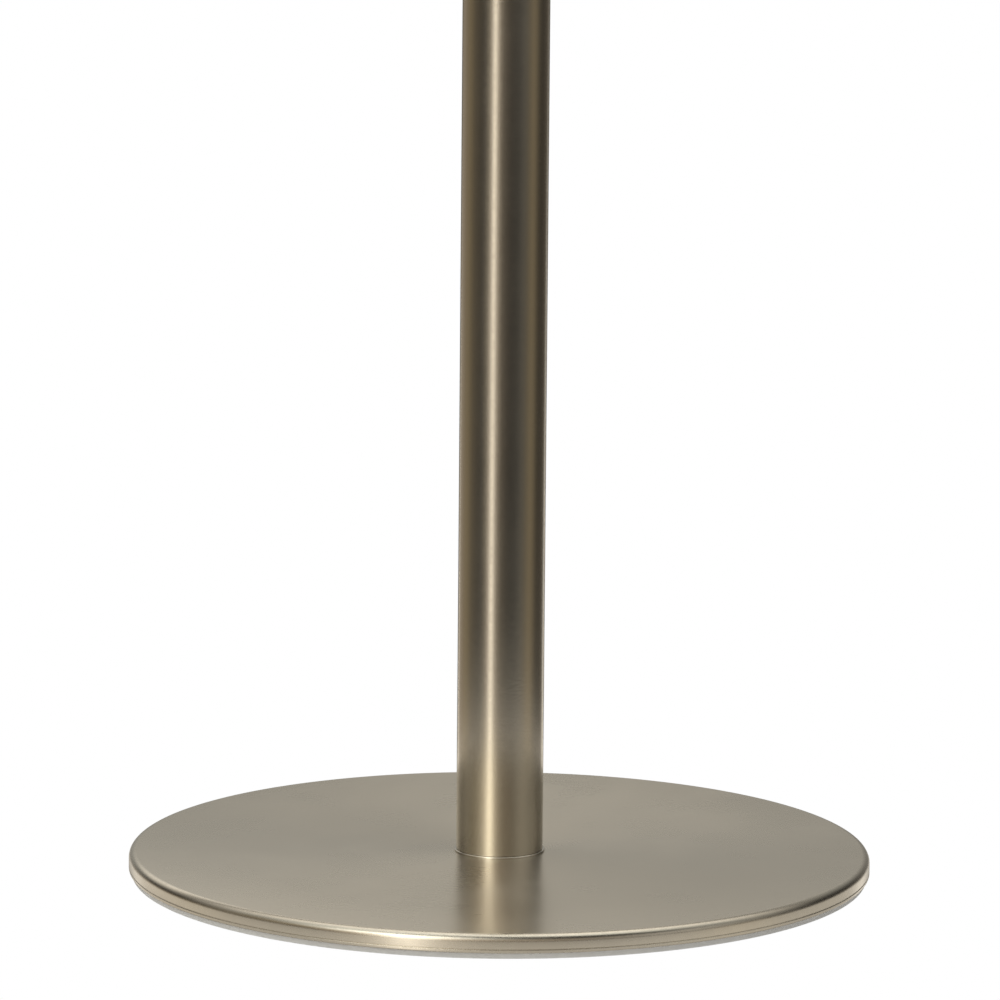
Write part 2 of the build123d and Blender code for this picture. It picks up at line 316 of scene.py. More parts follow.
# ---------------------------------------------------------------- finishes
@dataclass(frozen=True)
class Finish:
    """What every finish has: its colour, its gloss and the grain of its skin.

    Attributes:
        slot: name of the material slot; not used.
        name: the material's name.
        colour: base colour, linear.
        roughness: middle roughness.
        metallic: 1 for metals.
        grain_mm: size of the fine grain.
        grain_depth_mm: height of its bump.
        cloud: how far the slow cloudiness moves the roughness.
        mottle: how far it moves the colour, as a share.
    """

    slot: str
    name: str
    colour: Colour
    roughness: float
    metallic: float = 0.0
    grain_mm: float = 0.3
    grain_depth_mm: float = 0.004
    cloud: float = 0.04
    mottle: float = 0.05

    def build(self, effects: SurfaceEffects) -> bpy.types.Material:
        """Make the material.

        Args:
            effects: the shared groups.

        Returns:
            A node material with one Principled BSDF.
        """
        material = bpy.data.materials.new(self.name)
        material.use_nodes = True
        sheet = Sheet(material.node_tree)
        material.node_tree.nodes.clear()
        shader = sheet.add("ShaderNodeBsdfPrincipled")
        sheet.feed(sheet.add("ShaderNodeOutputMaterial").inputs["Surface"], shader.outputs[0])
        shader.inputs["Metallic"].default_value = self.metallic
        grain = self._group(sheet, effects.grain, {"Grain Size mm": self.grain_mm})
        darker = tuple(c * (1 - self.mottle) for c in self.colour)
        lighter = tuple(min(1.0, c * (1 + self.mottle)) for c in self.colour)
        colour = sheet.blend(grain.outputs["Cloud"], darker, lighter)
        roughness = sheet.ramp(grain.outputs["Cloud"], 0.3, 0.7, self.roughness - self.cloud,
                               self.roughness + self.cloud)
        self._dress(sheet, effects, shader, colour, roughness, grain.outputs["Height"])
        return material

    def _dress(self, sheet: Sheet, effects: SurfaceEffects, shader: bpy.types.Node,
               colour: bpy.types.NodeSocket, roughness: bpy.types.NodeSocket,
               height: bpy.types.NodeSocket) -> None:
        """Feed the shader from the grain; finishes with more to them extend this.

        Args:
            sheet: the material's sheet.
            effects: the shared groups.
            shader: the Principled BSDF.
            colour: mottled base colour.
            roughness: clouded roughness.
            height: grain height from 0 to 1.
        """
        sheet.feed(shader.inputs["Base Color"], colour)
        sheet.feed(shader.inputs["Roughness"], roughness)
        self._bump(sheet, shader, height, self.grain_depth_mm)

    @staticmethod
    def _group(sheet: Sheet, group: bpy.types.NodeTree, values: dict[str, float]) -> bpy.types.Node:
        """Place a shared group with this finish's own values.

        Args:
            sheet: the material's sheet.
            group: the shared group.
            values: its inputs' values by name.

        Returns:
            The group's node.
        """
        node = sheet.add("ShaderNodeGroup", node_tree=group)
        for name, value in values.items():
            node.inputs[name].default_value = value
        return node

    @staticmethod
    def _bump(sheet: Sheet, shader: bpy.types.Node, height: bpy.types.NodeSocket, depth_mm: float) -> None:
        """Turn a height into the shader's normal.

        Args:
            sheet: the material's sheet.
            shader: the Principled BSDF.
            height: height from 0 to 1.
            depth_mm: what a height of 1 stands for.
        """
        bump = sheet.add("ShaderNodeBump")
        bump.inputs["Distance"].default_value = depth_mm * MM
        sheet.feed(bump.inputs["Height"], height)
        sheet.feed(shader.inputs["Normal"], bump.outputs[0])


@dataclass(frozen=True)
class PlatedMetal(Finish):
    """Nickel or zinc plate over polished steel: grain, spun lines, rubbed edges and settled dust.

    Attributes:
        metallic: 1 for metals.
        line_mm: spacing of the polishing lines.
        line_depth_mm: their depth.
        line_gloss: how far they move the roughness.
        stretch: how far the gloss is drawn out across the lines.
        wear: strength of the rubbed edges.
        dust: amount of settled dust.
    """

    metallic: float = 1.0
    line_mm: float = 0.5
    line_depth_mm: float = 0.001
    line_gloss: float = 0.03
    stretch: float = 0.0
    wear: float = 0.5
    dust: float = 0.0

    def _dress(self, sheet: Sheet, effects: SurfaceEffects, shader: bpy.types.Node,
               colour: bpy.types.NodeSocket, roughness: bpy.types.NodeSocket,
               height: bpy.types.NodeSocket) -> None:
        """Add lines, wear and dust to the plain recipe.

        Args:
            sheet: the material's sheet.
            effects: the shared groups.
            shader: the Principled BSDF.
            colour: mottled base colour.
            roughness: clouded roughness.
            height: grain height from 0 to 1.
        """
        lines = self._group(sheet, effects.spun_lines, {"Line Spacing mm": self.line_mm})
        wear = self._group(sheet, effects.edge_wear, {"Amount": self.wear})
        dust = self._group(sheet, effects.dust, {"Amount": self.dust})
        bright = tuple(min(1.0, c * 1.12) for c in self.colour)
        colour = sheet.blend(wear.outputs["Mask"], colour, bright)
        colour = sheet.blend(dust.outputs["Mask"], colour, (0.62, 0.60, 0.56))
        lined = sheet.math("ADD", roughness, sheet.math("MULTIPLY", sheet.math(
            "SUBTRACT", lines.outputs["Tone"], 0.5), self.line_gloss))
        rubbed = sheet.math("SUBTRACT", lined, sheet.math("MULTIPLY", wear.outputs["Mask"], 0.08))
        dusty = sheet.math("ADD", rubbed, sheet.math("MULTIPLY", dust.outputs["Mask"], 0.45))
        sheet.feed(shader.inputs["Base Color"], colour)
        sheet.feed(shader.inputs["Roughness"], dusty)
        metal = sheet.math("SUBTRACT", self.metallic, sheet.math("MULTIPLY", dust.outputs["Mask"], 0.8))
        sheet.feed(shader.inputs["Metallic"], metal)
        relief = sheet.math("ADD", sheet.math("MULTIPLY", height, self.grain_depth_mm),
                            sheet.math("MULTIPLY", lines.outputs["Height"], self.line_depth_mm))
        self._bump(sheet, shader, relief, 1.0)
        if self.stretch:
            shader.inputs["Anisotropic"].default_value = self.stretch
            shader.inputs["Anisotropic Rotation"].default_value = 0.25
            tangent = sheet.add("ShaderNodeTangent", direction_type="RADIAL", axis="Z")
            sheet.feed(shader.inputs["Tangent"], tangent.outputs[0])


@dataclass(frozen=True)
class SoftGoods(Finish):
    """Felt and foam: a fibrous or cellular skin with sheen.

    Attributes:
        sheen: strength of the sheen.
    """

    sheen: float = 0.4

    def _dress(self, sheet: Sheet, effects: SurfaceEffects, shader: bpy.types.Node,
               colour: bpy.types.NodeSocket, roughness: bpy.types.NodeSocket,
               height: bpy.types.NodeSocket) -> None:
        """Fleck the colour with the grain and add sheen.

        Args:
            sheet: the material's sheet.
            effects: the shared groups.
            shader: the Principled BSDF.
            colour: mottled base colour.
            roughness: clouded roughness.
            height: grain height from 0 to 1.
        """
        flecked = sheet.blend(sheet.ramp(height, 0.45, 0.7, 0.0, 0.5), colour,
                              tuple(min(1.0, c * 2.2) for c in self.colour))
        sheet.feed(shader.inputs["Base Color"], flecked)
        sheet.feed(shader.inputs["Roughness"], roughness)
        shader.inputs["Sheen Weight"].default_value = self.sheen
        self._bump(sheet, shader, height, self.grain_depth_mm)


@dataclass(frozen=True)
class MouldedPlastic(Finish):
    """Moulded plastic or rubber: spark-eroded texture with rubbed edges and dust.

    Attributes:
        wear: strength of the rubbed edges.
        dust: amount of settled dust.
    """

    wear: float = 0.4
    dust: float = 0.0

    def _dress(self, sheet: Sheet, effects: SurfaceEffects, shader: bpy.types.Node,
               colour: bpy.types.NodeSocket, roughness: bpy.types.NodeSocket,
               height: bpy.types.NodeSocket) -> None:
        """Lighten rubbed edges and make them glossier.

        Args:
            sheet: the material's sheet.
            effects: the shared groups.
            shader: the Principled BSDF.
            colour: mottled base colour.
            roughness: clouded roughness.
            height: grain height from 0 to 1.
        """
        wear = self._group(sheet, effects.edge_wear, {"Amount": self.wear})
        dust = self._group(sheet, effects.dust, {"Amount": self.dust})
        rubbed = tuple(min(1.0, c * 1.3 + 0.02) for c in self.colour)
        colour = sheet.blend(wear.outputs["Mask"], colour, rubbed)
        colour = sheet.blend(dust.outputs["Mask"], colour, (0.5, 0.49, 0.46))
        glossier = sheet.math("SUBTRACT", roughness, sheet.math("MULTIPLY", wear.outputs["Mask"], 0.12))
        sheet.feed(shader.inputs["Base Color"], colour)
        sheet.feed(shader.inputs["Roughness"], glossier)
        self._bump(sheet, shader, height, self.grain_depth_mm)


NICKEL = (0.66, 0.612, 0.52)


class Finishes:
    """Every finish of the stand, built once and handed out by name.

    Attributes:
        RECIPES: the finishes.
    """

    RECIPES: tuple[Finish, ...] = (
        PlatedMetal("satin_nickel", "satin_nickel_disc", NICKEL, 0.28, stretch=0.6, line_mm=0.5,
                    line_depth_mm=0.0001, line_gloss=0.01, grain_mm=0.6, grain_depth_mm=0.0003, cloud=0.01,
                    mottle=0.01, wear=0.35, dust=0.55),
        PlatedMetal("satin_nickel", "satin_nickel_tube", NICKEL, 0.25, line_mm=0.6, line_depth_mm=0.0004,
                    grain_mm=0.85, grain_depth_mm=0.015, cloud=0.01, mottle=0.02, wear=0.3),
        PlatedMetal("satin_nickel", "satin_nickel_turned", NICKEL, 0.24, line_mm=0.25, line_depth_mm=0.002,
                    grain_mm=0.4, grain_depth_mm=0.003, cloud=0.02, mottle=0.03, wear=0.8, dust=0.6),
        PlatedMetal("bright_nickel", "bright_nickel", (0.74, 0.70, 0.62), 0.16, line_mm=0.2, wear=0.5),
        PlatedMetal("bare_steel", "bare_steel", (0.56, 0.55, 0.53), 0.34, line_mm=0.12, line_depth_mm=0.004,
                    cloud=0.06, mottle=0.08),
        PlatedMetal("zinc_plated_steel", "zinc_plated_steel", (0.66, 0.67, 0.68), 0.3, line_mm=0.3,
                    cloud=0.08, mottle=0.06, wear=0.7),
        PlatedMetal("black_oxide_steel", "black_oxide_steel", (0.05, 0.05, 0.055), 0.42, line_mm=0.3,
                    cloud=0.07, mottle=0.2, wear=1.0),
        Finish("cast_iron", "cast_iron", (0.055, 0.054, 0.052), 0.62, grain_mm=0.9, grain_depth_mm=0.09,
               cloud=0.08, mottle=0.25),
        MouldedPlastic("grey_soft_plastic", "grey_soft_plastic", (0.50, 0.50, 0.49), 0.5, grain_mm=0.5,
                       grain_depth_mm=0.012, mottle=0.04, wear=0.3),
        MouldedPlastic("black_plastic", "black_plastic", (0.022, 0.022, 0.024), 0.42, grain_mm=0.35,
                       grain_depth_mm=0.012, mottle=0.15, wear=0.8, dust=0.7),
        MouldedPlastic("black_rubber", "black_rubber", (0.018, 0.018, 0.018), 0.72, grain_mm=0.6,
                       grain_depth_mm=0.02, mottle=0.2),
        MouldedPlastic("white_nylon", "white_nylon", (0.79, 0.76, 0.68), 0.44, grain_mm=0.4,
                       grain_depth_mm=0.006, mottle=0.04),
        SoftGoods("underside_felt", "underside_felt", (0.045, 0.045, 0.048), 0.95, grain_mm=0.7,
                  grain_depth_mm=0.25, mottle=0.25, sheen=0.6),
        SoftGoods("liner_foam", "liner_foam", (0.72, 0.72, 0.70), 0.85, grain_mm=0.5, grain_depth_mm=0.08,
                  sheen=0.1),
    )

    def __init__(self) -> None:
        """Build the shared groups and then each material."""
        effects = SurfaceEffects()
        self._recipes = {recipe.name: recipe for recipe in self.RECIPES}
        self._built = {name: recipe.build(effects) for name, recipe in self._recipes.items()}

    def __getitem__(self, name: str) -> bpy.types.Material:
        """The material of that name."""
        return self._built[name]

    def dress(self, piece: bpy.types.Object, name: str) -> None:
        """Put one finish all over a piece.

        Args:
            piece: a mesh object.
            name: the finish's name.
        """
        piece.data.materials.clear()
        piece.data.materials.append(self._built[name])

    def dress_node(self, node: str, name: str) -> None:
        """Put a finish on a CAD node that stays as it is.

        Args:
            node: the node's name.
            name: the finish's name.
        """
        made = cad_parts[node]
        for place in made.material_slots:
            place.material = self._built[name]
        log.info("kept %s in %s", node, name)


# ---------------------------------------------------------------- mesh making
@dataclass(frozen=True)
class Corner:
    """One corner of a turned outline.

    Attributes:
        radius: distance from the axis.
        along: place along the axis.
        rounding: radius of the arc that replaces the corner, 0 for a sharp one.
    """

    radius: float
    along: float
    rounding: float = 0.0


def rounded_outline(corners: Sequence[Corner], closed: bool, arc_steps: int) -> list[OutlinePoint]:
    """Replace rounded corners with arcs.

    Args:
        corners: the outline's corners in order.
        closed: True if the last corner joins the first.
        arc_steps: spans in each arc.

    Returns:
        (radius, along, edge) points, where edge is the share of wear that the point takes.
    """
    points: list[OutlinePoint] = []
    count = len(corners)
    for index, corner in enumerate(corners):
        here = Vector((corner.radius, corner.along))
        is_end = not closed and index in (0, count - 1)
        if corner.rounding <= 0 or is_end:
            points.append((here.x, here.y, 0.0))
            continue
        before = corners[index - 1]
        after = corners[(index + 1) % count]
        back = (Vector((before.radius, before.along)) - here).normalized()
        ahead = (Vector((after.radius, after.along)) - here).normalized()
        half = back.angle(ahead) / 2
        reach = corner.rounding / math.tan(half)
        centre = here + (back + ahead).normalized() * (corner.rounding / math.sin(half))
        start = here + back * reach - centre
        sweep = (here + ahead * reach - centre).angle_signed(start)
        for step in range(arc_steps + 1):
            spoke = Matrix.Rotation(sweep * step / arc_steps, 2) @ start
            edge = 1.0 if 0 < step < arc_steps else ARC_END_WEAR
            points.append((centre.x + spoke.x, centre.y + spoke.y, edge))
    return points


def place(axis: Axis, radius: float, along: float, angle: float, clamp_height: float) -> Vector:
    """Position of one point of a turned piece in the row frame.

    Args:
        axis: what the piece is turned about.
        radius: distance from that axis.
        along: place along it.
        angle: turn round it, in radians.
        clamp_height: height of the clamp's axis.

    Returns:
        The point.
    """
    if axis is Axis.UPRIGHT:
        return Vector((radius * math.cos(angle), radius * math.sin(angle), along))
    return Vector((along, radius * math.cos(angle), clamp_height + radius * math.sin(angle)))


def finish_mesh(piece: bpy.types.Object, crease: float = math.radians(35)) -> bpy.types.Object:
    """Smooth a mesh's shading.

    Args:
        piece: a mesh object.
        crease: edges that turn more than this stay sharp, in radians.

    Returns:
        The piece.
    """
    piece.data.shade_smooth()
    piece.data.set_sharp_from_angle(angle=crease)
    return piece


def turn(name: str, corners: Sequence[Corner], axis: Axis = Axis.UPRIGHT, steps: int = 192,
         closed: bool = True, clamp_height: float = 0.0, arc_steps: int = 6) -> bpy.types.Object:
    """Turn an outline about one of the stand's axes into a closed mesh.

    Args:
        name: the object's name.
        corners: the outline. An open one starts and ends on the axis.
        axis: what it is turned about.
        steps: spans round the axis.
        closed: True for a ring-shaped piece, False for one that crosses the axis.
        clamp_height: height of the clamp's axis, for pieces turned about it.
        arc_steps: spans in each rounded corner.

    Returns:
        A mesh object in the row frame.
    """
    outline = rounded_outline(corners, closed, arc_steps)
    shape = bmesh.new()
    edge_layer = shape.verts.layers.float.new("outer_edge")
    rings: list[list[bmesh.types.BMVert]] = []
    for radius, along, edge in outline:
        turns = 1 if radius < 1e-7 else steps
        angles = [TAU * i / steps for i in range(turns)]
        ring = [shape.verts.new(place(axis, radius, along, angle, clamp_height)) for angle in angles]
        for vert in ring:
            vert[edge_layer] = edge
        rings.append(ring)
    pairs = list(zip(rings, rings[1:]))
    if closed:
        pairs.append((rings[-1], rings[0]))
    for low, high in pairs:
        for i in range(steps):
            j = (i + 1) % steps
            around = (low[i % len(low)], low[j % len(low)], high[j % len(high)], high[i % len(high)])
            unique = list(dict.fromkeys(around))
            if len(unique) > 2:
                shape.faces.new(unique)
    bmesh.ops.recalc_face_normals(shape, faces=shape.faces)
    mesh = bpy.data.meshes.new(name)
    shape.to_mesh(mesh)
    shape.free()
    piece = bpy.data.objects.new(name, mesh)
    bpy.context.scene.collection.objects.link(piece)
    return finish_mesh(piece)


def bar(outer: float, radius: float, height: float, steps: int = 64) -> bpy.types.Object:
    """Level round cutter along +X from the tube's axis.

    Args:
        outer: distance of its far end.
        radius: its radius.
        height: its height.
        steps: spans round it.

    Returns:
        A closed mesh object.
    """
    return turn("cutter", [Corner(0, 0), Corner(radius, 0), Corner(radius, outer), Corner(0, outer)],
                Axis.CLAMP, steps, closed=False, clamp_height=height)


def applied(piece: bpy.types.Object) -> bpy.types.Object:
    """Swap a piece's mesh for the result of its modifiers, and drop them.

    Args:
        piece: a mesh object.

    Returns:
        The piece.
    """
    graph = bpy.context.evaluated_depsgraph_get()
    graph.update()
    result = bpy.data.meshes.new_from_object(piece.evaluated_get(graph))
    piece.modifiers.clear()
    old = piece.data
    piece.data = result
    result.name = piece.name
    bpy.data.meshes.remove(old)
    return piece


def cut(piece: bpy.types.Object, cutters: Sequence[bpy.types.Object]) -> bpy.types.Object:
    """Cut holes in a piece.

    Args:
        piece: a closed mesh.
        cutters: closed meshes to take away, which are deleted.

    Returns:
        The piece, with its new mesh.
    """
    for cutter in cutters:
        hole = piece.modifiers.new("hole", "BOOLEAN")
        hole.operation = "DIFFERENCE"
        hole.solver = "EXACT"
        hole.object = cutter
    applied(piece)
    for cutter in cutters:
        bpy.data.meshes.remove(cutter.data)
    shape = bmesh.new()
    shape.from_mesh(piece.data)
    bmesh.ops.dissolve_degenerate(shape, dist=SLIVER, edges=shape.edges)
    shape.to_mesh(piece.data)
    shape.free()
    return finish_mesh(piece)


def fit_out(piece: bpy.types.Object, body: Body, *nodes: str) -> None:
    """Hand a finished piece to the frame.

    Args:
        piece: the finished piece.
        body: the body that it rides on.
        nodes: the CAD nodes that it stands for.
    """
    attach(piece, body.value)
    if nodes:
        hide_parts(*nodes)
    log.info("built %s on %s: %d faces", piece.name, body.value, len(piece.data.polygons))


# ---------------------------------------------------------------- geometry node trees
class Rule:
    """A Geometry Nodes tree with named size inputs, run once on a piece and turned into plain mesh."""

    def __init__(self, name: str, floats: dict[str, float], counts: dict[str, int]) -> None:
        """Start a tree.

        Args:
            name: the tree's name.
            floats: names and values of its size inputs, in metres or radians.
            counts: names and values of its whole-number inputs.
        """
        self.tree = bpy.data.node_groups.new(name, "GeometryNodeTree")
        self.sheet = Sheet(self.tree)
        face = self.tree.interface
        face.new_socket("Geometry", in_out="INPUT", socket_type="NodeSocketGeometry")
        self.values: dict[str, float | int] = {**floats, **counts}
        for label in floats:
            face.new_socket(label, in_out="INPUT", socket_type="NodeSocketFloat")
        for label in counts:
            face.new_socket(label, in_out="INPUT", socket_type="NodeSocketInt")
        face.new_socket("Material", in_out="INPUT", socket_type="NodeSocketMaterial")
        face.new_socket("Geometry", in_out="OUTPUT", socket_type="NodeSocketGeometry")
        self.given = self.sheet.add("NodeGroupInput")
        self.out = self.sheet.add("NodeGroupOutput")

    def value(self, label: str) -> bpy.types.NodeSocket:
        """Socket of one named input."""
        return self.given.outputs[label]

    def add(self, kind: str, inputs: dict[str, object], **settings: object) -> bpy.types.Node:
        """Add a geometry node.

        Args:
            kind: Blender's name for the node type, without its GeometryNode prefix.
            inputs: values or sockets for its inputs, by name.
            settings: properties to set on it.

        Returns:
            The new node.
        """
        node = self.sheet.add("GeometryNode" + kind, **settings)
        for name, source in inputs.items():
            self.sheet.feed(node.inputs[name], source)
        return node

    def close(self, *parts: bpy.types.NodeSocket) -> None:
        """End the tree: join the parts, realize instances and set the material.

        Args:
            parts: the meshes and instances to join.
        """
        join = self.add("JoinGeometry", {})
        for part in parts:
            self.tree.links.new(part, join.inputs[0])
        real = self.add("RealizeInstances", {"Geometry": join.outputs[0]})
        dressed = self.add("SetMaterial", {"Geometry": real.outputs[0], "Material": self.value("Material")})
        self.tree.links.new(dressed.outputs[0], self.out.inputs[0])

    def run(self, piece: bpy.types.Object, material: bpy.types.Material) -> bpy.types.Object:
        """Run the tree on a piece.

        Args:
            piece: the mesh that goes in.
            material: what the result is made of.

        Returns:
            The same object with the plain resulting mesh and no modifier.
        """
        modifier = piece.modifiers.new(self.tree.name, "NODES")
        modifier.node_group = self.tree
        for item in self.tree.interface.items_tree:
            if item.in_out == "INPUT" and item.name in self.values:
                modifier[item.identifier] = self.values[item.name]
            elif item.in_out == "INPUT" and item.name == "Material":
                modifier[item.identifier] = material
        return finish_mesh(applied(piece))


def reeding_rule(core: float, length: float, start: float, height: float, ribs: int, rib: float) -> Rule:
    """Rule for the straight reeding round the hand knob.

    Args:
        core: radius of the circle that the ribs stand on.
        length: length of each rib.
        start: where the ribs begin along the clamp's axis.
        height: height of the clamp's axis.
        ribs: how many there are.
        rib: radius of one rib.

    Returns:
        The tree, ready to run on the knob's body.
    """
    rule = Rule("knob_reeding", {"Core Radius": core, "Rib Length": length, "Start": start,
                                 "Axis Height": height, "Rib Radius": rib}, {"Ribs": ribs})
    sheet = rule.sheet
    circle = rule.add("MeshCircle", {"Vertices": rule.value("Ribs"), "Radius": rule.value("Core Radius")},
                      fill_type="NONE")
    run = sheet.add("ShaderNodeCombineXYZ")
    sheet.feed(run.inputs[2], rule.value("Rib Length"))
    line = rule.add("CurvePrimitiveLine", {"End": run.outputs[0]})
    fine = rule.add("ResampleCurve", {"Curve": line.outputs[0], "Count": 12})
    factor = rule.add("SplineParameter", {}).outputs["Factor"]
    from_end = sheet.math("MINIMUM", factor, sheet.math("SUBTRACT", 1.0, factor))
    taper = sheet.ramp(from_end, 0.0, 0.12, 0.35, 1.0)
    thin = rule.add("SetCurveRadius", {"Curve": fine.outputs[0], "Radius": taper})
    section = rule.add("CurvePrimitiveCircle", {"Resolution": 10, "Radius": rule.value("Rib Radius")})
    rib_mesh = rule.add("CurveToMesh", {"Curve": thin.outputs[0], "Profile Curve": section.outputs[0],
                                        "Scale": taper, "Fill Caps": True})
    set_out = rule.add("InstanceOnPoints", {"Points": circle.outputs[0], "Instance": rib_mesh.outputs[0]})
    where = sheet.add("ShaderNodeCombineXYZ")
    sheet.feed(where.inputs[0], rule.value("Start"))
    sheet.feed(where.inputs[2], rule.value("Axis Height"))
    level = rule.add("Transform", {"Geometry": set_out.outputs[0], "Translation": where.outputs[0],
                                   "Rotation": (0.0, math.pi / 2, 0.0)})
    rule.close(rule.given.outputs[0], level.outputs[0])
    return rule


def thread_rule(major: float, pitch: float, depth: float, start: float, length: float,
                height: float) -> Rule:
    """Rule for a screw thread along the clamp's axis.

    Args:
        major: radius over the crests.
        pitch: advance for each turn.
        depth: radial depth of the thread.
        start: where it begins along the axis.
        length: its length.
        height: height of the axis.

    Returns:
        The tree, ready to run on the stud's core.
    """
    rule = Rule("screw_thread", {"Helix Radius": major - depth, "Height": length, "Ridge": depth,
                                 "Start": start, "Axis Height": height, "Turns": length / pitch},
                {"Points Per Turn": 40})
    sheet = rule.sheet
    helix = rule.add("CurveSpiral", {"Resolution": rule.value("Points Per Turn"),
                                     "Rotations": rule.value("Turns"),
                                     "Start Radius": rule.value("Helix Radius"),
                                     "End Radius": rule.value("Helix Radius"),
                                     "Height": rule.value("Height")})
    upright = rule.add("SetCurveNormal", {"Curve": helix.outputs[0]}, mode="Z_UP")
    factor = rule.add("SplineParameter", {}).outputs["Factor"]
    from_end = sheet.math("MINIMUM", factor, sheet.math("SUBTRACT", 1.0, factor))
    run_out = sheet.ramp(from_end, 0.0, 0.05, 0.2, 1.0)
    section = rule.add("CurvePrimitiveCircle", {"Resolution": 4, "Radius": rule.value("Ridge")})
    ridge = rule.add("CurveToMesh", {"Curve": upright.outputs[0], "Profile Curve": section.outputs[0],
                                     "Scale": run_out, "Fill Caps": True})
    where = sheet.add("ShaderNodeCombineXYZ")
    sheet.feed(where.inputs[0], rule.value("Start"))
    sheet.feed(where.inputs[2], rule.value("Axis Height"))
    level = rule.add("Transform", {"Geometry": ridge.outputs[0], "Translation": where.outputs[0],
                                   "Rotation": (0.0, math.pi / 2, 0.0)})
    rule.close(rule.given.outputs[0], level.outputs[0])
    return rule


def fibre_rule(per_square_metre: float, length: float, thickness: float) -> Rule:
    """Rule for the loose fibres that stand out of the felt's underside.

    Args:
        per_square_metre: how thickly they are strewn.
        length: length of one fibre.
        thickness: its radius.

    Returns:
        The tree, ready to run on the felt sheet.
    """
    rule = Rule("felt_fibres", {"Density": per_square_metre, "Fibre Length": length,
                                "Fibre Radius": thickness}, {"Seed": 7})
    sheet = rule.sheet
    normal = sheet.add("ShaderNodeSeparateXYZ")
    sheet.feed(normal.inputs[0], rule.add("InputNormal", {}).outputs[0])
    below = sheet.math("LESS_THAN", normal.outputs[2], -0.5)
    spots = rule.add("DistributePointsOnFaces", {"Mesh": rule.given.outputs[0], "Selection": below,
                                                 "Density": rule.value("Density"),
                                                 "Seed": rule.value("Seed")})
    end = sheet.add("ShaderNodeCombineXYZ")
    sheet.feed(end.inputs[0], rule.value("Fibre Length"))
    middle = sheet.add("ShaderNodeCombineXYZ")
    sheet.feed(middle.inputs[0], sheet.math("MULTIPLY", rule.value("Fibre Length"), 0.5))
    sheet.feed(middle.inputs[2], sheet.math("MULTIPLY", rule.value("Fibre Length"), -0.35))
    arc = rule.add("CurveQuadraticBezier", {"Resolution": 3, "Start": (0.0, 0.0, 0.0),
                                            "Middle": middle.outputs[0], "End": end.outputs[0]})
    section = rule.add("CurvePrimitiveCircle", {"Resolution": 3, "Radius": rule.value("Fibre Radius")})
    fibre = rule.add("CurveToMesh", {"Curve": arc.outputs[0], "Profile Curve": section.outputs[0],
                                     "Fill Caps": True})
    spin = sheet.add("FunctionNodeRandomValue", data_type="FLOAT_VECTOR")
    spin.inputs[0].default_value = (-0.1, -0.1, 0.0)
    spin.inputs[1].default_value = (0.1, 0.1, TAU)
    sheet.feed(spin.inputs["Seed"], rule.value("Seed"))
    strewn = rule.add("InstanceOnPoints", {"Points": spots.outputs[0], "Instance": fibre.outputs[0],
                                           "Rotation": spin.outputs[0]})
    rule.close(rule.given.outputs[0], strewn.outputs[0])
    return rule


# ---------------------------------------------------------------- sub-assemblies
def reach(node: str) -> float:
    """Largest distance of a CAD node from the tube's axis along X."""
    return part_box(node)[1].x


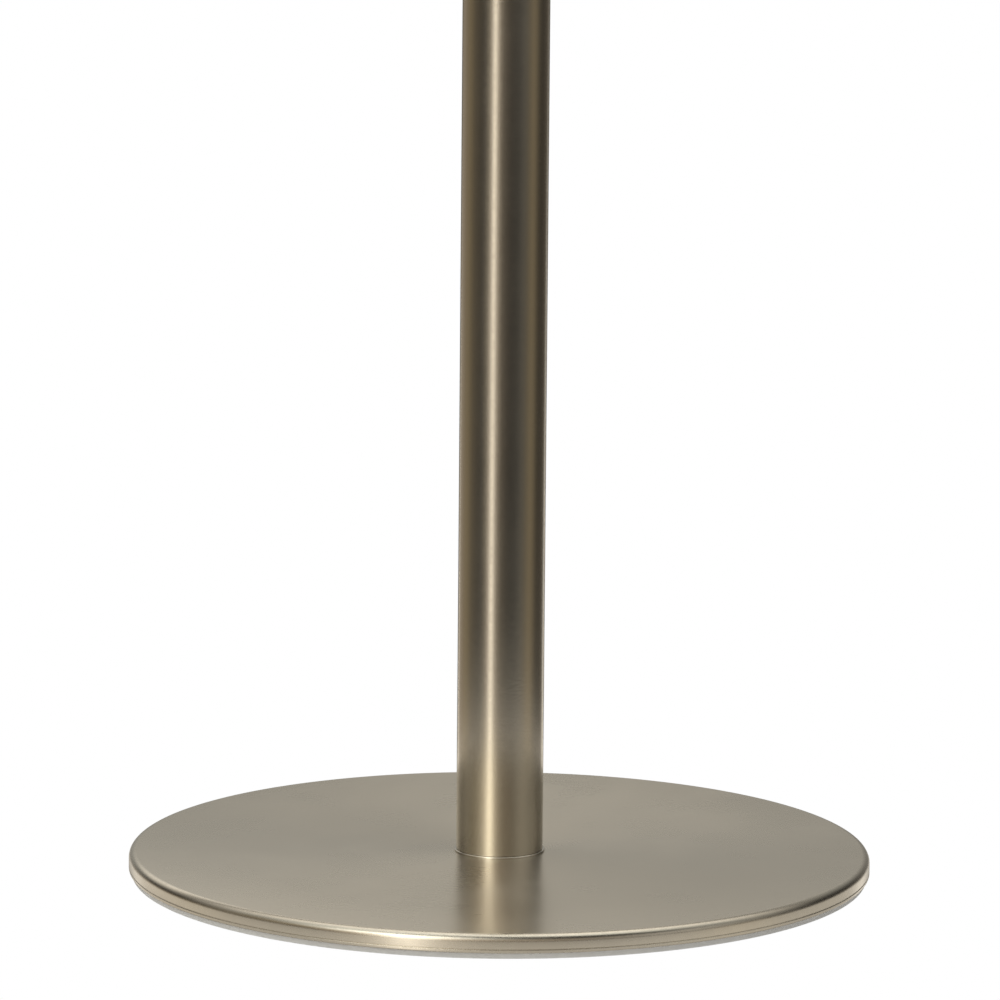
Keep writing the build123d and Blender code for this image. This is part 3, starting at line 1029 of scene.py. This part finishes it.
@dataclass
class WeightedBase:
    """The round base: spun cover, soft edge ring, iron, felt and the screw that holds the tube.

    Attributes:
        finishes: the stand's finishes.
        sheet: thickness of the cover's metal.
        edge_roll: radius between the cover's top and its skirt.
        hem: height of the folded hem.
        hem_line: depth of the line above it.
        centre_hole: radius of the hole under the tube.
        felt_window: radius of the felt's hole.
        felt_edge: rounding of the felt's cut edge.
        fibres: loose fibres on each square metre of felt.
        fibre_length: their length.
        fibre_radius: their radius.
        lip: wall of the soft ring's upstand.
        flange: width of the soft ring's inner flange.
        top: height of the cover's top.
        radius: radius of the cover.
        skirt_foot: height of the skirt's lower edge.
    """

    finishes: Finishes
    sheet: float = 1.2 * MM
    edge_roll: float = 3.1 * MM
    hem: float = 1.5 * MM
    hem_line: float = 0.25 * MM
    centre_hole: float = SCREW_HOLE
    felt_window: float = 15.0 * MM
    felt_edge: float = 0.25 * MM
    fibres: float = 60000.0
    fibre_length: float = 1.6 * MM
    fibre_radius: float = 0.02 * MM
    lip: float = 1.6 * MM
    flange: float = 6.4 * MM
    top: float = field(init=False)
    radius: float = field(init=False)
    skirt_foot: float = field(init=False)

    def __post_init__(self) -> None:
        """Take the outer sizes from the frame."""
        low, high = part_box("base_cover")
        self.radius = high.x
        self.top = high.z
        self.skirt_foot = low.z

    def build(self) -> None:
        """Build and dress every piece of the base."""
        self._cover()
        self._edge_ring()
        self._felt()
        self.finishes.dress_node("ballast_disc", "cast_iron")
        self.finishes.dress_node("cover_liner", "liner_foam")
        self.finishes.dress_node("centre_screw", "black_oxide_steel")
        self.finishes.dress_node("locating_pin", "bare_steel")

    def _cover(self) -> None:
        """Spun cover with its rolled edge, hem line and inward hem."""
        inner = self.radius - self.sheet
        hem_inner = self.radius - 2 * self.sheet
        hem_top = self.skirt_foot + self.hem
        below = self.top - self.sheet
        cover = turn("spun_cover", [
            Corner(self.centre_hole, self.top),
            Corner(self.radius * 0.35, self.top),
            Corner(self.radius * 0.7, self.top),
            Corner(self.radius, self.top, self.edge_roll),
            Corner(self.radius, hem_top + self.hem_line, 0.1 * MM),
            Corner(self.radius - self.hem_line, hem_top, 0.08 * MM),
            Corner(self.radius, hem_top - self.hem_line, 0.1 * MM),
            Corner(self.radius, self.skirt_foot, self.sheet / 2),
            Corner(hem_inner, self.skirt_foot, self.sheet / 2),
            Corner(hem_inner, hem_top),
            Corner(inner, hem_top),
            Corner(inner, below, self.edge_roll - self.sheet),
            Corner(self.centre_hole, below),
        ], steps=384, arc_steps=10)
        self.finishes.dress(cover, "satin_nickel_disc")
        fit_out(cover, Body.STAND, "base_cover")

    def _edge_ring(self) -> None:
        """Soft ring: stands on the floor and tucks up behind the hem."""
        low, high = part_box("floor_ring")
        outer = high.x
        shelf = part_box("ballast_disc")[0].z
        lip_outer = self.radius - 2 * self.sheet - HAIRLINE
        lip_inner = lip_outer - self.lip
        inner = lip_inner - self.flange
        ring = turn("soft_edge_ring", [
            Corner(inner, low.z, 0.3 * MM),
            Corner(outer, low.z, 0.6 * MM),
            Corner(outer, self.skirt_foot, 0.2 * MM),
            Corner(lip_outer, self.skirt_foot),
            Corner(lip_outer, high.z, 0.5 * MM),
            Corner(lip_inner, high.z),
            Corner(lip_inner, shelf),
            Corner(inner, shelf),
        ], steps=384)
        self.finishes.dress(ring, "grey_soft_plastic")
        fit_out(ring, Body.STAND, "floor_ring")

    def _felt(self) -> None:
        """Felt sheet with a soft cut edge and loose fibres on its underside."""
        low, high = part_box("underside_felt")
        felt = turn("felt_sheet", [
            Corner(self.felt_window, low.z, self.felt_edge),
            Corner(self.felt_window * 3, low.z),
            Corner(high.x * 0.65, low.z),
            Corner(high.x, low.z, self.felt_edge),
            Corner(high.x, high.z),
            Corner(self.felt_window, high.z),
        ], steps=128)
        rule = fibre_rule(self.fibres, self.fibre_length, self.fibre_radius)
        rule.run(felt, self.finishes["underside_felt"])
        self.finishes.dress(felt, "underside_felt")
        fit_out(felt, Body.STAND, "underside_felt")


@dataclass
class SocketTube:
    """The upright tube, the bright ring at its foot and what lies inside it.

    Attributes:
        finishes: the stand's finishes.
        wall: tube wall.
        pad_hole: radius of the hole for the clamp pad.
        washer_hole: radius of the foot ring's hole.
    """

    finishes: Finishes
    wall: float = 1.5 * MM
    pad_hole: float = PAD_HOLE
    washer_hole: float = SCREW_HOLE

    def build(self) -> None:
        """Build and dress the tube's pieces."""
        self._tube()
        self._foot_ring()
        self.finishes.dress_node("foot_plug", "bare_steel")
        self.finishes.dress_node("pole_rest_pad", "black_rubber")
        self.finishes.dress_node("lower_guide", "black_plastic")

    def _tube(self) -> None:
        """Plain tube with deburred ends and the pad's hole."""
        low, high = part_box("stand_tube")
        outer = high.x
        pad_low, pad_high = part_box("clamp_pad")
        clamp = (pad_low.z + pad_high.z) / 2
        tube = turn("socket_tube", [
            Corner(outer, low.z, 0.35 * MM),
            Corner(outer, high.z, 0.2 * MM),
            Corner(outer - self.wall, high.z, 0.3 * MM),
            Corner(outer - self.wall, low.z),
        ], steps=256)
        cut(tube, [bar(outer + self.wall, self.pad_hole, clamp)])
        self.finishes.dress(tube, "satin_nickel_tube")
        fit_out(tube, Body.STAND, "stand_tube")

    def _foot_ring(self) -> None:
        """Bright washer that shows as a thin line round the tube's foot."""
        low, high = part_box("foot_washer")
        washer = turn("foot_ring", [
            Corner(self.washer_hole, low.z),
            Corner(high.x, low.z, 0.12 * MM),
            Corner(high.x, high.z, 0.32 * MM),
            Corner(self.washer_hole, high.z),
        ], steps=256)
        self.finishes.dress(washer, "bright_nickel")
        fit_out(washer, Body.STAND, "foot_washer")


@dataclass
class MouthClamp:
    """The collar at the tube's mouth, its bush, and the screw clamp.

    Attributes:
        finishes: the stand's finishes.
        groove: depth of the collar's turned lines.
        groove_from_end: their distance from the collar's ends.
        edge: chamfer at the collar's ends.
        thread: radius over the clamp screw's thread.
        pitch: its pitch.
        thread_depth: its depth.
        ribs: ribs round the knob.
        rib: radius of one rib.
        pin_hole: radius of the hole through the knob's neck.
        pad_hole: radius of the pad's room in bush and collar.
        stud_hole: radius of the collar's hole for the stud.
        boss_hole: radius of the boss's seat.
        grub_hole: radius of the grub screws' holes.
        grub_sink: radius of their countersinks.
        bush_wall: wall of the bush.
        bush_gap: from the tube's outside to the bush.
        funnel: height and width of the bush's funnel.
        neck: radius of the knob's neck.
        neck_length: its length.
        bore_depth: depth of the knob's hole for the stud.
        height: height of the clamp's axis.
        tube: radius of the tube.
    """

    finishes: Finishes
    groove: float = 0.5 * MM
    groove_from_end: float = 4.0 * MM
    edge: float = 0.8 * MM
    thread: float = 4.0 * MM
    pitch: float = 1.25 * MM
    thread_depth: float = 0.62 * MM
    ribs: int = 56
    rib: float = 0.72 * MM
    pin_hole: float = 1.3 * MM
    pad_hole: float = PAD_HOLE
    stud_hole: float = 4.1 * MM
    boss_hole: float = 8.05 * MM
    grub_hole: float = 2.55 * MM
    grub_sink: float = 3.25 * MM
    bush_wall: float = 1.7 * MM
    bush_gap: float = 1.55 * MM
    funnel: float = 1.0 * MM
    neck: float = 8.0 * MM
    neck_length: float = 5.0 * MM
    bore_depth: float = 11.0 * MM
    height: float = field(init=False)
    tube: float = field(init=False)

    def __post_init__(self) -> None:
        """Find the clamp's axis and the tube in the frame."""
        low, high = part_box("clamp_pad")
        self.height = (low.z + high.z) / 2
        self.tube = reach("stand_tube")

    def build(self) -> None:
        """Build and dress the clamp's pieces."""
        self._bush()
        self._collar()
        self._stud()
        self._knob()
        self.finishes.dress_node("clamp_boss", "satin_nickel_turned")
        self.finishes.dress_node("collar_set_screws", "black_oxide_steel")
        self.finishes.dress_node("knob_pin", "bare_steel")
        self.finishes.dress_node("clamp_pad", "white_nylon")

    def _bush(self) -> None:
        """Flanged plastic bush with a rounded flange and a funnelled bore."""
        low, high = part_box("upper_bush")
        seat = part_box("stand_tube")[1].z
        outer = self.tube - self.bush_gap
        bore = outer - self.bush_wall
        bush = turn("mouth_bush", [
            Corner(bore, low.z, 0.3 * MM),
            Corner(outer, low.z, 0.3 * MM),
            Corner(outer, seat),
            Corner(high.x, seat, 0.2 * MM),
            Corner(high.x, high.z, 1.0 * MM),
            Corner(bore + self.funnel, high.z, 0.3 * MM),
            Corner(bore, high.z - self.funnel, 0.3 * MM),
        ], steps=192)
        cut(bush, [bar(outer + MM, self.pad_hole, self.height)])
        self.finishes.dress(bush, "black_plastic")
        fit_out(bush, Body.STAND, "upper_bush")

    def _collar(self) -> None:
        """Turned collar with two lines, the boss's seat and countersunk grub screw holes."""
        low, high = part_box("clamp_collar")
        outer = high.x
        inner = self.tube + HAIRLINE
        lines: list[Corner] = []
        for line in (low.z + self.groove_from_end, high.z - self.groove_from_end):
            lines += [
                Corner(outer, line - self.groove, 0.08 * MM),
                Corner(outer - self.groove, line, 0.1 * MM),
                Corner(outer, line + self.groove, 0.08 * MM),
            ]
        collar = turn("turned_collar", [
            Corner(inner, low.z),
            Corner(outer - self.edge, low.z, 0.25 * MM),
            Corner(outer, low.z + self.edge, 0.25 * MM),
            *lines,
            Corner(outer, high.z - self.edge, 0.25 * MM),
            Corner(outer - self.edge, high.z, 0.25 * MM),
            Corner(inner, high.z),
        ], steps=192, arc_steps=4)
        cutters = [self._stepped_drill(outer)]
        cutters += [self._grub_drill(outer, angle) for angle in (TAU / 3, -TAU / 3)]
        cut(collar, cutters)
        self.finishes.dress(collar, "satin_nickel_turned")
        fit_out(collar, Body.STAND, "clamp_collar")

    def _stepped_drill(self, outer: float) -> bpy.types.Object:
        """Cutter for the collar's stepped hole.

        Args:
            outer: the collar's radius.

        Returns:
            One closed mesh: room for the pad, the screw's hole and the boss's seat.
        """
        inside = self.tube - 7.5 * MM
        outside = outer + 4 * MM
        pad_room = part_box("clamp_pad")[1].x + 0.3 * MM
        boss_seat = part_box("clamp_boss")[0].x
        return turn("stepped_drill", [
            Corner(0, inside),
            Corner(self.pad_hole, inside),
            Corner(self.pad_hole, pad_room),
            Corner(self.stud_hole, pad_room),
            Corner(self.stud_hole, boss_seat),
            Corner(self.boss_hole, boss_seat),
            Corner(self.boss_hole, outside),
            Corner(0, outside),
        ], Axis.CLAMP, 64, closed=False, clamp_height=self.height)

    def _grub_drill(self, outer: float, angle: float) -> bpy.types.Object:
        """Cutter for one grub screw's countersunk hole.

        Args:
            outer: the collar's radius.
            angle: direction from +X, in radians.

        Returns:
            One closed mesh.
        """
        inside = self.tube - MM
        outside = outer + 0.4 * MM
        drill = turn("grub_drill", [
            Corner(0, inside),
            Corner(self.grub_hole, inside),
            Corner(self.grub_hole, outside - (self.grub_sink - self.grub_hole)),
            Corner(self.grub_sink, outside),
            Corner(0, outside),
        ], Axis.CLAMP, 64, closed=False, clamp_height=self.height)
        drill.data.transform(Matrix.Rotation(angle, 4, "Z"))
        return drill

    def _stud(self) -> None:
        """Clamp screw: snap button, neck and a cut thread."""
        low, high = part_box("clamp_screw")
        core = self.thread - self.thread_depth
        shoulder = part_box("clamp_pad")[1].x + HAIRLINE
        stud = turn("clamp_stud", [
            Corner(0, low.x),
            Corner(2.4 * MM, low.x, 0.3 * MM),
            Corner(2.4 * MM, shoulder - 0.7 * MM),
            Corner(1.9 * MM, shoulder - 0.7 * MM),
            Corner(1.9 * MM, shoulder),
            Corner(core, shoulder, 0.2 * MM),
            Corner(core, high.x),
            Corner(0, high.x),
        ], Axis.CLAMP, 64, closed=False, clamp_height=self.height)
        start = shoulder + self.thread_depth
        length = high.x - start - self.thread_depth
        major = self.thread - 0.02 * MM
        rule = thread_rule(major, self.pitch, self.thread_depth, start, length, self.height)
        rule.run(stud, self.finishes["zinc_plated_steel"])
        self.finishes.dress(stud, "zinc_plated_steel")
        fit_out(stud, Body.SCREW, "clamp_screw")

    def _knob(self) -> None:
        """Hand knob: necked and dished body with reeding round its grip."""
        low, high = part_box("clamp_knob")
        rim = (high.y - low.y) / 2
        grip = low.x + self.neck_length
        core = rim - self.rib
        bore = self.thread + HAIRLINE
        bore_end = low.x + self.bore_depth
        knob = turn("hand_knob", [
            Corner(0, bore_end),
            Corner(bore, bore_end),
            Corner(bore, low.x, 0.2 * MM),
            Corner(self.neck, low.x, 0.5 * MM),
            Corner(self.neck, grip, 0.8 * MM),
            Corner(rim - 1.2 * MM, grip, 0.5 * MM),
            Corner(core, grip + 0.9 * MM, 0.3 * MM),
            Corner(core, high.x - 0.9 * MM, 0.3 * MM),
            Corner(rim - 1.2 * MM, high.x, 0.5 * MM),
            Corner(rim - 3.0 * MM, high.x, 0.4 * MM),
            Corner(rim - 3.8 * MM, high.x - 0.8 * MM, 0.4 * MM),
            Corner(3.0 * MM, high.x - 0.8 * MM),
            Corner(2.4 * MM, high.x - 0.5 * MM, 0.4 * MM),
            Corner(0, high.x - 0.4 * MM),
        ], Axis.CLAMP, 168, closed=False, clamp_height=self.height)
        cut(knob, [self._pin_drill()])
        rib_end = 1.2 * MM
        length = high.x - grip - 2 * rib_end
        rule = reeding_rule(core, length, grip + rib_end, self.height, self.ribs, self.rib)
        rule.run(knob, self.finishes["satin_nickel_turned"])
        self.finishes.dress(knob, "satin_nickel_turned")
        fit_out(knob, Body.SCREW, "clamp_knob")


    def _pin_drill(self) -> bpy.types.Object:
        """Cutter for the pin's hole through the knob's neck.

        Returns:
            One closed mesh.
        """
        low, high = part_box("knob_pin")
        end = self.neck + 2 * MM
        drill = turn("pin_drill", [
            Corner(0, -end),
            Corner(self.pin_hole, -end),
            Corner(self.pin_hole, end),
            Corner(0, end),
        ], steps=32, closed=False)
        lay_down = Matrix.Rotation(math.pi / 2, 4, "X")
        drill.data.transform(Matrix.Translation(((low.x + high.x) / 2, 0.0, self.height)) @ lay_down)
        return drill


# ---------------------------------------------------------------- studio
class Tint(Enum):
    """Colours of the studio's lights."""

    DAYLIGHT = (1.0, 1.0, 0.94)
    PAPER = (1.0, 0.95, 0.87)
    WARM = (1.0, 0.84, 0.66)
    AMBER = (1.0, 0.80, 0.50)

    def at(self, strength: float) -> Colour:
        """This tint at some strength."""
        return tuple(strength * channel for channel in self.value)


@dataclass(frozen=True)
class SoftPanel:
    """A soft patch of light on the studio's walls or ceiling, by direction from the stand.

    Attributes:
        azimuth: degrees from the front, positive to the right.
        elevation: degrees above the floor.
        half_width: degrees from its middle to where it has faded sideways.
        half_height: degrees from its middle to where it has faded upwards.
        strength: brightness in its middle.
        tint: its colour.
    """

    azimuth: float
    elevation: float
    half_width: float
    half_height: float
    strength: float
    tint: Tint = Tint.WARM

    def frame(self) -> tuple[Vector, Vector, Vector]:
        """Directions of the panel's own frame.

        Returns:
            Unit vectors towards the panel, across it and up it.
        """
        azimuth, elevation = math.radians(self.azimuth), math.radians(self.elevation)
        level = Vector((math.sin(azimuth), -math.cos(azimuth), 0.0))
        facing = level * math.cos(elevation) + Vector((0.0, 0.0, math.sin(elevation)))
        across = Vector((math.cos(azimuth), math.sin(azimuth), 0.0))
        return facing, across, facing.cross(across)


@dataclass(frozen=True)
class FloorGlow:
    """Painted glow that polished metal sees in the white floor, by distance from the base's rim, dimmed
    beside the base by a painted contact shadow.

    Attributes:
        close: light right beside the base.
        close_reach: how fast it fades, metres.
        ring: light of the bright ring a little way out.
        ring_reach: distance of that ring from the rim, metres.
        far: light of the wide fall-off.
        far_reach: its reach, metres.
        rim: radius of the base's rim, metres.
        shade: share of the room that is still seen in the floor right beside the base; the rest is painted
            contact shadow.
        shade_reach: distance from the rim where all of it is seen, metres.
    """

    close: Colour = Tint.PAPER.at(0.3)
    close_reach: float = 0.02
    ring: Colour = Tint.PAPER.at(0.48)
    ring_reach: float = 0.024
    far: Colour = Tint.DAYLIGHT.at(0.02)
    far_reach: float = 0.5
    rim: float = 0.15
    shade: float = 0.55
    shade_reach: float = 0.08

    def write(self, sheet: Sheet) -> tuple[bpy.types.NodeSocket, bpy.types.NodeSocket]:
        """Write the glow into the floor's material.

        Args:
            sheet: the material's sheet.

        Returns:
            The painted glow's colour, and the share of the room seen through it, lowered beside the base as
            a painted contact shadow.
        """
        where = sheet.add("ShaderNodeVectorMath", operation="LENGTH")
        sheet.feed(where.inputs[0], sheet.add("ShaderNodeTexCoord").outputs["Object"])
        out = sheet.math("MAXIMUM", sheet.math("SUBTRACT", where.outputs["Value"], self.rim), 0.0)
        reaches = (self.close_reach, self.ring_reach, self.far_reach)
        fades = [self._fade(sheet, out, reach) for reach in reaches]
        rise = sheet.math("MULTIPLY", sheet.math("DIVIDE", out, self.ring_reach), math.e)
        fades[1] = sheet.math("MULTIPLY", fades[1], rise)
        total = None
        for light, share in zip((self.close, self.ring, self.far), fades):
            total = add_light(sheet, total, light, share)
        # painted contact shadow: less of the room shows through the floor near the rim
        return total, sheet.ramp(out, 0.0, self.shade_reach, self.shade, 1.0)

    @staticmethod
    def _fade(sheet: Sheet, out: bpy.types.NodeSocket, reach: float) -> bpy.types.NodeSocket:
        """Exponential fall-off with distance."""
        return sheet.math("EXPONENT", sheet.math("DIVIDE", out, -reach))


def add_light(sheet: Sheet, total: object, light: Colour, share: object) -> bpy.types.NodeSocket:
    """Add a share of one light's colour to a running total.

    Args:
        sheet: the sheet to write in.
        total: the total's socket, None at the start.
        light: the light's colour.
        share: socket that scales it.

    Returns:
        The new total's socket.
    """
    scaled = sheet.add("ShaderNodeVectorMath", operation="SCALE")
    scaled.inputs[0].default_value = light
    sheet.feed(scaled.inputs["Scale"], share)
    if total is None:
        return scaled.outputs[0]
    joined = sheet.add("ShaderNodeVectorMath", operation="ADD")
    sheet.feed(joined.inputs[0], total)
    sheet.feed(joined.inputs[1], scaled.outputs[0])
    return joined.outputs[0]


@dataclass
class Studio:
    """White floor, a plain room of soft light panels, and the camera.

    Attributes:
        panels: the light panels.
        glow: the painted glow and painted contact shadow that the metal sees in the floor.
        camera_place: camera position, metres.
        camera_turn: yaw, pitch down and roll, degrees.
        lens: focal length on a 36 mm sensor, millimetres.
    """

    panels: tuple[SoftPanel, ...] = (
        # the tall window at the left: glass, frame and what it lights
        SoftPanel(-27, -14, 5, 17, 1.5, Tint.PAPER),
        SoftPanel(-27, 18, 8, 15, 2.4, Tint.DAYLIGHT),
        SoftPanel(-35, 42, 20, 12, 3.0, Tint.DAYLIGHT),
        SoftPanel(-27, -14, 16, 17, 0.4),
        SoftPanel(-27, 18, 22, 15, 0.75),
        # the room at floor height, from left to right
        SoftPanel(-138, -14, 18, 17, 0.3),
        SoftPanel(-108, -14, 18, 17, 0.2, Tint.AMBER),
        SoftPanel(-78, -14, 16, 17, 0.06),
        SoftPanel(-52, -14, 13, 17, 0.03, Tint.DAYLIGHT),
        SoftPanel(3, -14, 13, 17, 0.05),
        SoftPanel(28, -14, 14, 17, 0.03, Tint.PAPER),
        SoftPanel(53, -14, 14, 17, 0.08, Tint.PAPER),
        SoftPanel(80, -14, 16, 17, 0.2, Tint.AMBER),
        SoftPanel(110, -14, 18, 17, 0.03),
        SoftPanel(140, -14, 18, 17, 0.08),
        # the walls in front
        SoftPanel(-70, 18, 25, 15, 0.2, Tint.AMBER),
        SoftPanel(15, 18, 22, 15, 0.3),
        SoftPanel(60, 18, 25, 15, 0.5, Tint.PAPER),
        # the walls behind
        SoftPanel(-165, 8, 20, 11, 0.3, Tint.DAYLIGHT),
        SoftPanel(165, 8, 20, 11, 0.18, Tint.PAPER),
        SoftPanel(-160, 27, 22, 10, 1.0, Tint.PAPER),
        SoftPanel(160, 27, 22, 10, 0.25, Tint.DAYLIGHT),
        SoftPanel(180, 46, 40, 11, 0.25, Tint.PAPER),
        # the ceiling
        SoftPanel(180, 66, 40, 12, 1.5, Tint.PAPER),
        SoftPanel(0, 88, 40, 15, 1.4, Tint.DAYLIGHT),
        # low fill for the sides that are turned away
        SoftPanel(0, -90, 38, 42, 0.34, Tint.PAPER),
        SoftPanel(154, -20, 7, 10, 1.3, Tint.PAPER),
        SoftPanel(-152, -20, 5, 10, 1.1, Tint.PAPER),
    )
    glow: FloorGlow = field(default_factory=FloorGlow)
    camera_place: Vector = field(default_factory=lambda: Vector((0.0594, -3.6912, 0.8485)))
    camera_turn: tuple[float, float, float] = (-0.936, 10.653, 0.484)
    lens: float = 336.16

    def build(self) -> None:
        """Set up the camera, the floor and the light."""
        bpy.context.scene.view_settings.view_transform = "Standard"
        self._camera()
        self._floor()
        self._light()

    def _camera(self) -> None:
        """Place the camera."""
        data = bpy.data.cameras.new("camera")
        data.lens = self.lens
        data.sensor_width = 36.0
        data.clip_start = 0.1
        data.clip_end = 100.0
        camera = bpy.data.objects.new("camera", data)
        bpy.context.scene.collection.objects.link(camera)
        yaw, pitch, roll = (math.radians(a) for a in self.camera_turn)
        ahead = Vector((math.sin(yaw) * math.cos(pitch), math.cos(yaw) * math.cos(pitch), -math.sin(pitch)))
        level = Vector((math.cos(yaw), -math.sin(yaw), 0.0))
        upward = level.cross(ahead)
        right = level * math.cos(roll) + upward * math.sin(roll)
        above = upward * math.cos(roll) - level * math.sin(roll)
        turned = Matrix((right, above, -ahead)).transposed().to_4x4()
        camera.matrix_world = Matrix.Translation(self.camera_place) @ turned
        bpy.context.scene.camera = camera

    def _floor(self) -> None:
        """White floor: clear from below, plain paper to soft light, and to mirrors a fading painted glow
        with a painted contact shadow beside the base.
        """
        shape = bmesh.new()
        bmesh.ops.create_circle(shape, cap_ends=True, segments=96, radius=30.0)
        mesh = bpy.data.meshes.new("floor")
        shape.to_mesh(mesh)
        shape.free()
        floor = bpy.data.objects.new("floor", mesh)
        bpy.context.scene.collection.objects.link(floor)
        material = bpy.data.materials.new("white_floor")
        material.use_nodes = True
        sheet = Sheet(material.node_tree)
        material.node_tree.nodes.clear()
        paper = sheet.add("ShaderNodeBsdfDiffuse")
        paper.inputs["Color"].default_value = (0.85, 0.85, 0.85, 1.0)
        lit_paper = self._sum(sheet, paper.outputs[0], self._emission(sheet, 0.55))
        clear = sheet.add("ShaderNodeBsdfTransparent").outputs[0]
        mirrored = sheet.add("ShaderNodeEmission")
        glow, share = self.glow.write(sheet)
        sheet.feed(mirrored.inputs["Color"], glow)
        # painted contact shadow: the room seen through the floor is dimmed beside the base
        beyond = sheet.add("ShaderNodeBsdfTransparent")
        sheet.feed(beyond.inputs["Color"], share)
        path = sheet.add("ShaderNodeLightPath")
        by_ray = self._choose(sheet, path.outputs["Is Glossy Ray"], lit_paper,
                              self._sum(sheet, mirrored.outputs[0], beyond.outputs[0]))
        seen = self._choose(sheet, path.outputs["Is Camera Ray"], by_ray, self._emission(sheet, 1.0))
        facing = sheet.add("ShaderNodeNewGeometry").outputs["Backfacing"]
        surface = self._choose(sheet, facing, seen, clear)
        sheet.feed(sheet.add("ShaderNodeOutputMaterial").inputs["Surface"], surface)
        mesh.materials.append(material)

    @staticmethod
    def _emission(sheet: Sheet, strength: float) -> bpy.types.NodeSocket:
        """Plain white light of one strength.

        Args:
            sheet: the material's sheet.
            strength: how bright it is.

        Returns:
            The shader's socket.
        """
        node = sheet.add("ShaderNodeEmission")
        node.inputs["Strength"].default_value = strength
        return node.outputs[0]

    @staticmethod
    def _sum(sheet: Sheet, first: bpy.types.NodeSocket,
             second: bpy.types.NodeSocket) -> bpy.types.NodeSocket:
        """Both shaders together.

        Args:
            sheet: the material's sheet.
            first: one shader.
            second: the other.

        Returns:
            The shader's socket.
        """
        node = sheet.add("ShaderNodeAddShader")
        sheet.feed(node.inputs[0], first)
        sheet.feed(node.inputs[1], second)
        return node.outputs[0]

    @staticmethod
    def _choose(sheet: Sheet, which: bpy.types.NodeSocket, if_not: bpy.types.NodeSocket,
                if_so: bpy.types.NodeSocket) -> bpy.types.NodeSocket:
        """One shader or the other.

        Args:
            sheet: the tree's sheet.
            which: socket that is 0 or 1.
            if_not: shader for 0.
            if_so: shader for 1.

        Returns:
            The shader's socket.
        """
        node = sheet.add("ShaderNodeMixShader")
        sheet.feed(node.inputs[0], which)
        sheet.feed(node.inputs[1], if_not)
        sheet.feed(node.inputs[2], if_so)
        return node.outputs[0]

    def _light(self) -> None:
        """World of soft panels; the camera itself sees plain white."""
        world = bpy.data.worlds.new("studio")
        bpy.context.scene.world = world
        world.use_nodes = True
        sheet = Sheet(world.node_tree)
        world.node_tree.nodes.clear()
        way = sheet.add("ShaderNodeTexCoord").outputs["Generated"]
        colour = None
        for panel in self.panels:
            facing, across, up = (self._dot(sheet, way, axis) for axis in panel.frame())
            sideways = sheet.math("DIVIDE", sheet.math("ARCTAN2", across, facing),
                                  math.radians(panel.half_width))
            upwards = sheet.math("DIVIDE", sheet.math("ARCSINE", up), math.radians(panel.half_height))
            fade = sheet.math("ADD", sheet.math("POWER", sheet.math("ABSOLUTE", sideways), 2.0),
                              sheet.math("POWER", sheet.math("ABSOLUTE", upwards), 4.0))
            share = sheet.math("EXPONENT", sheet.math("MULTIPLY", fade, -1.0))
            colour = add_light(sheet, colour, panel.tint.at(panel.strength), share)
        walls = sheet.add("ShaderNodeBackground")
        sheet.feed(walls.inputs["Color"], colour)
        white = sheet.add("ShaderNodeBackground")
        white.inputs["Color"].default_value = (1.0, 1.0, 1.0, 1.0)
        camera_ray = sheet.add("ShaderNodeLightPath").outputs["Is Camera Ray"]
        seen = self._choose(sheet, camera_ray, walls.outputs[0], white.outputs[0])
        sheet.feed(sheet.add("ShaderNodeOutputWorld").inputs["Surface"], seen)

    @staticmethod
    def _dot(sheet: Sheet, way: bpy.types.NodeSocket, axis: Vector) -> bpy.types.NodeSocket:
        """How far a direction goes along an axis.

        Args:
            sheet: the world's sheet.
            way: the direction's socket.
            axis: unit vector.

        Returns:
            The dot product's socket.
        """
        node = sheet.add("ShaderNodeVectorMath", operation="DOT_PRODUCT")
        sheet.feed(node.inputs[0], way)
        node.inputs[1].default_value = axis
        return node.outputs["Value"]


def main() -> None:
    """Build the studio and the three sub-assemblies in order."""
    logging.basicConfig(level=logging.INFO, format="%(name)s: %(message)s")
    Studio().build()
    finishes = Finishes()
    for assembly in (WeightedBase(finishes), SocketTube(finishes), MouthClamp(finishes)):
        assembly.build()


if __name__ == "__main__":
    main()
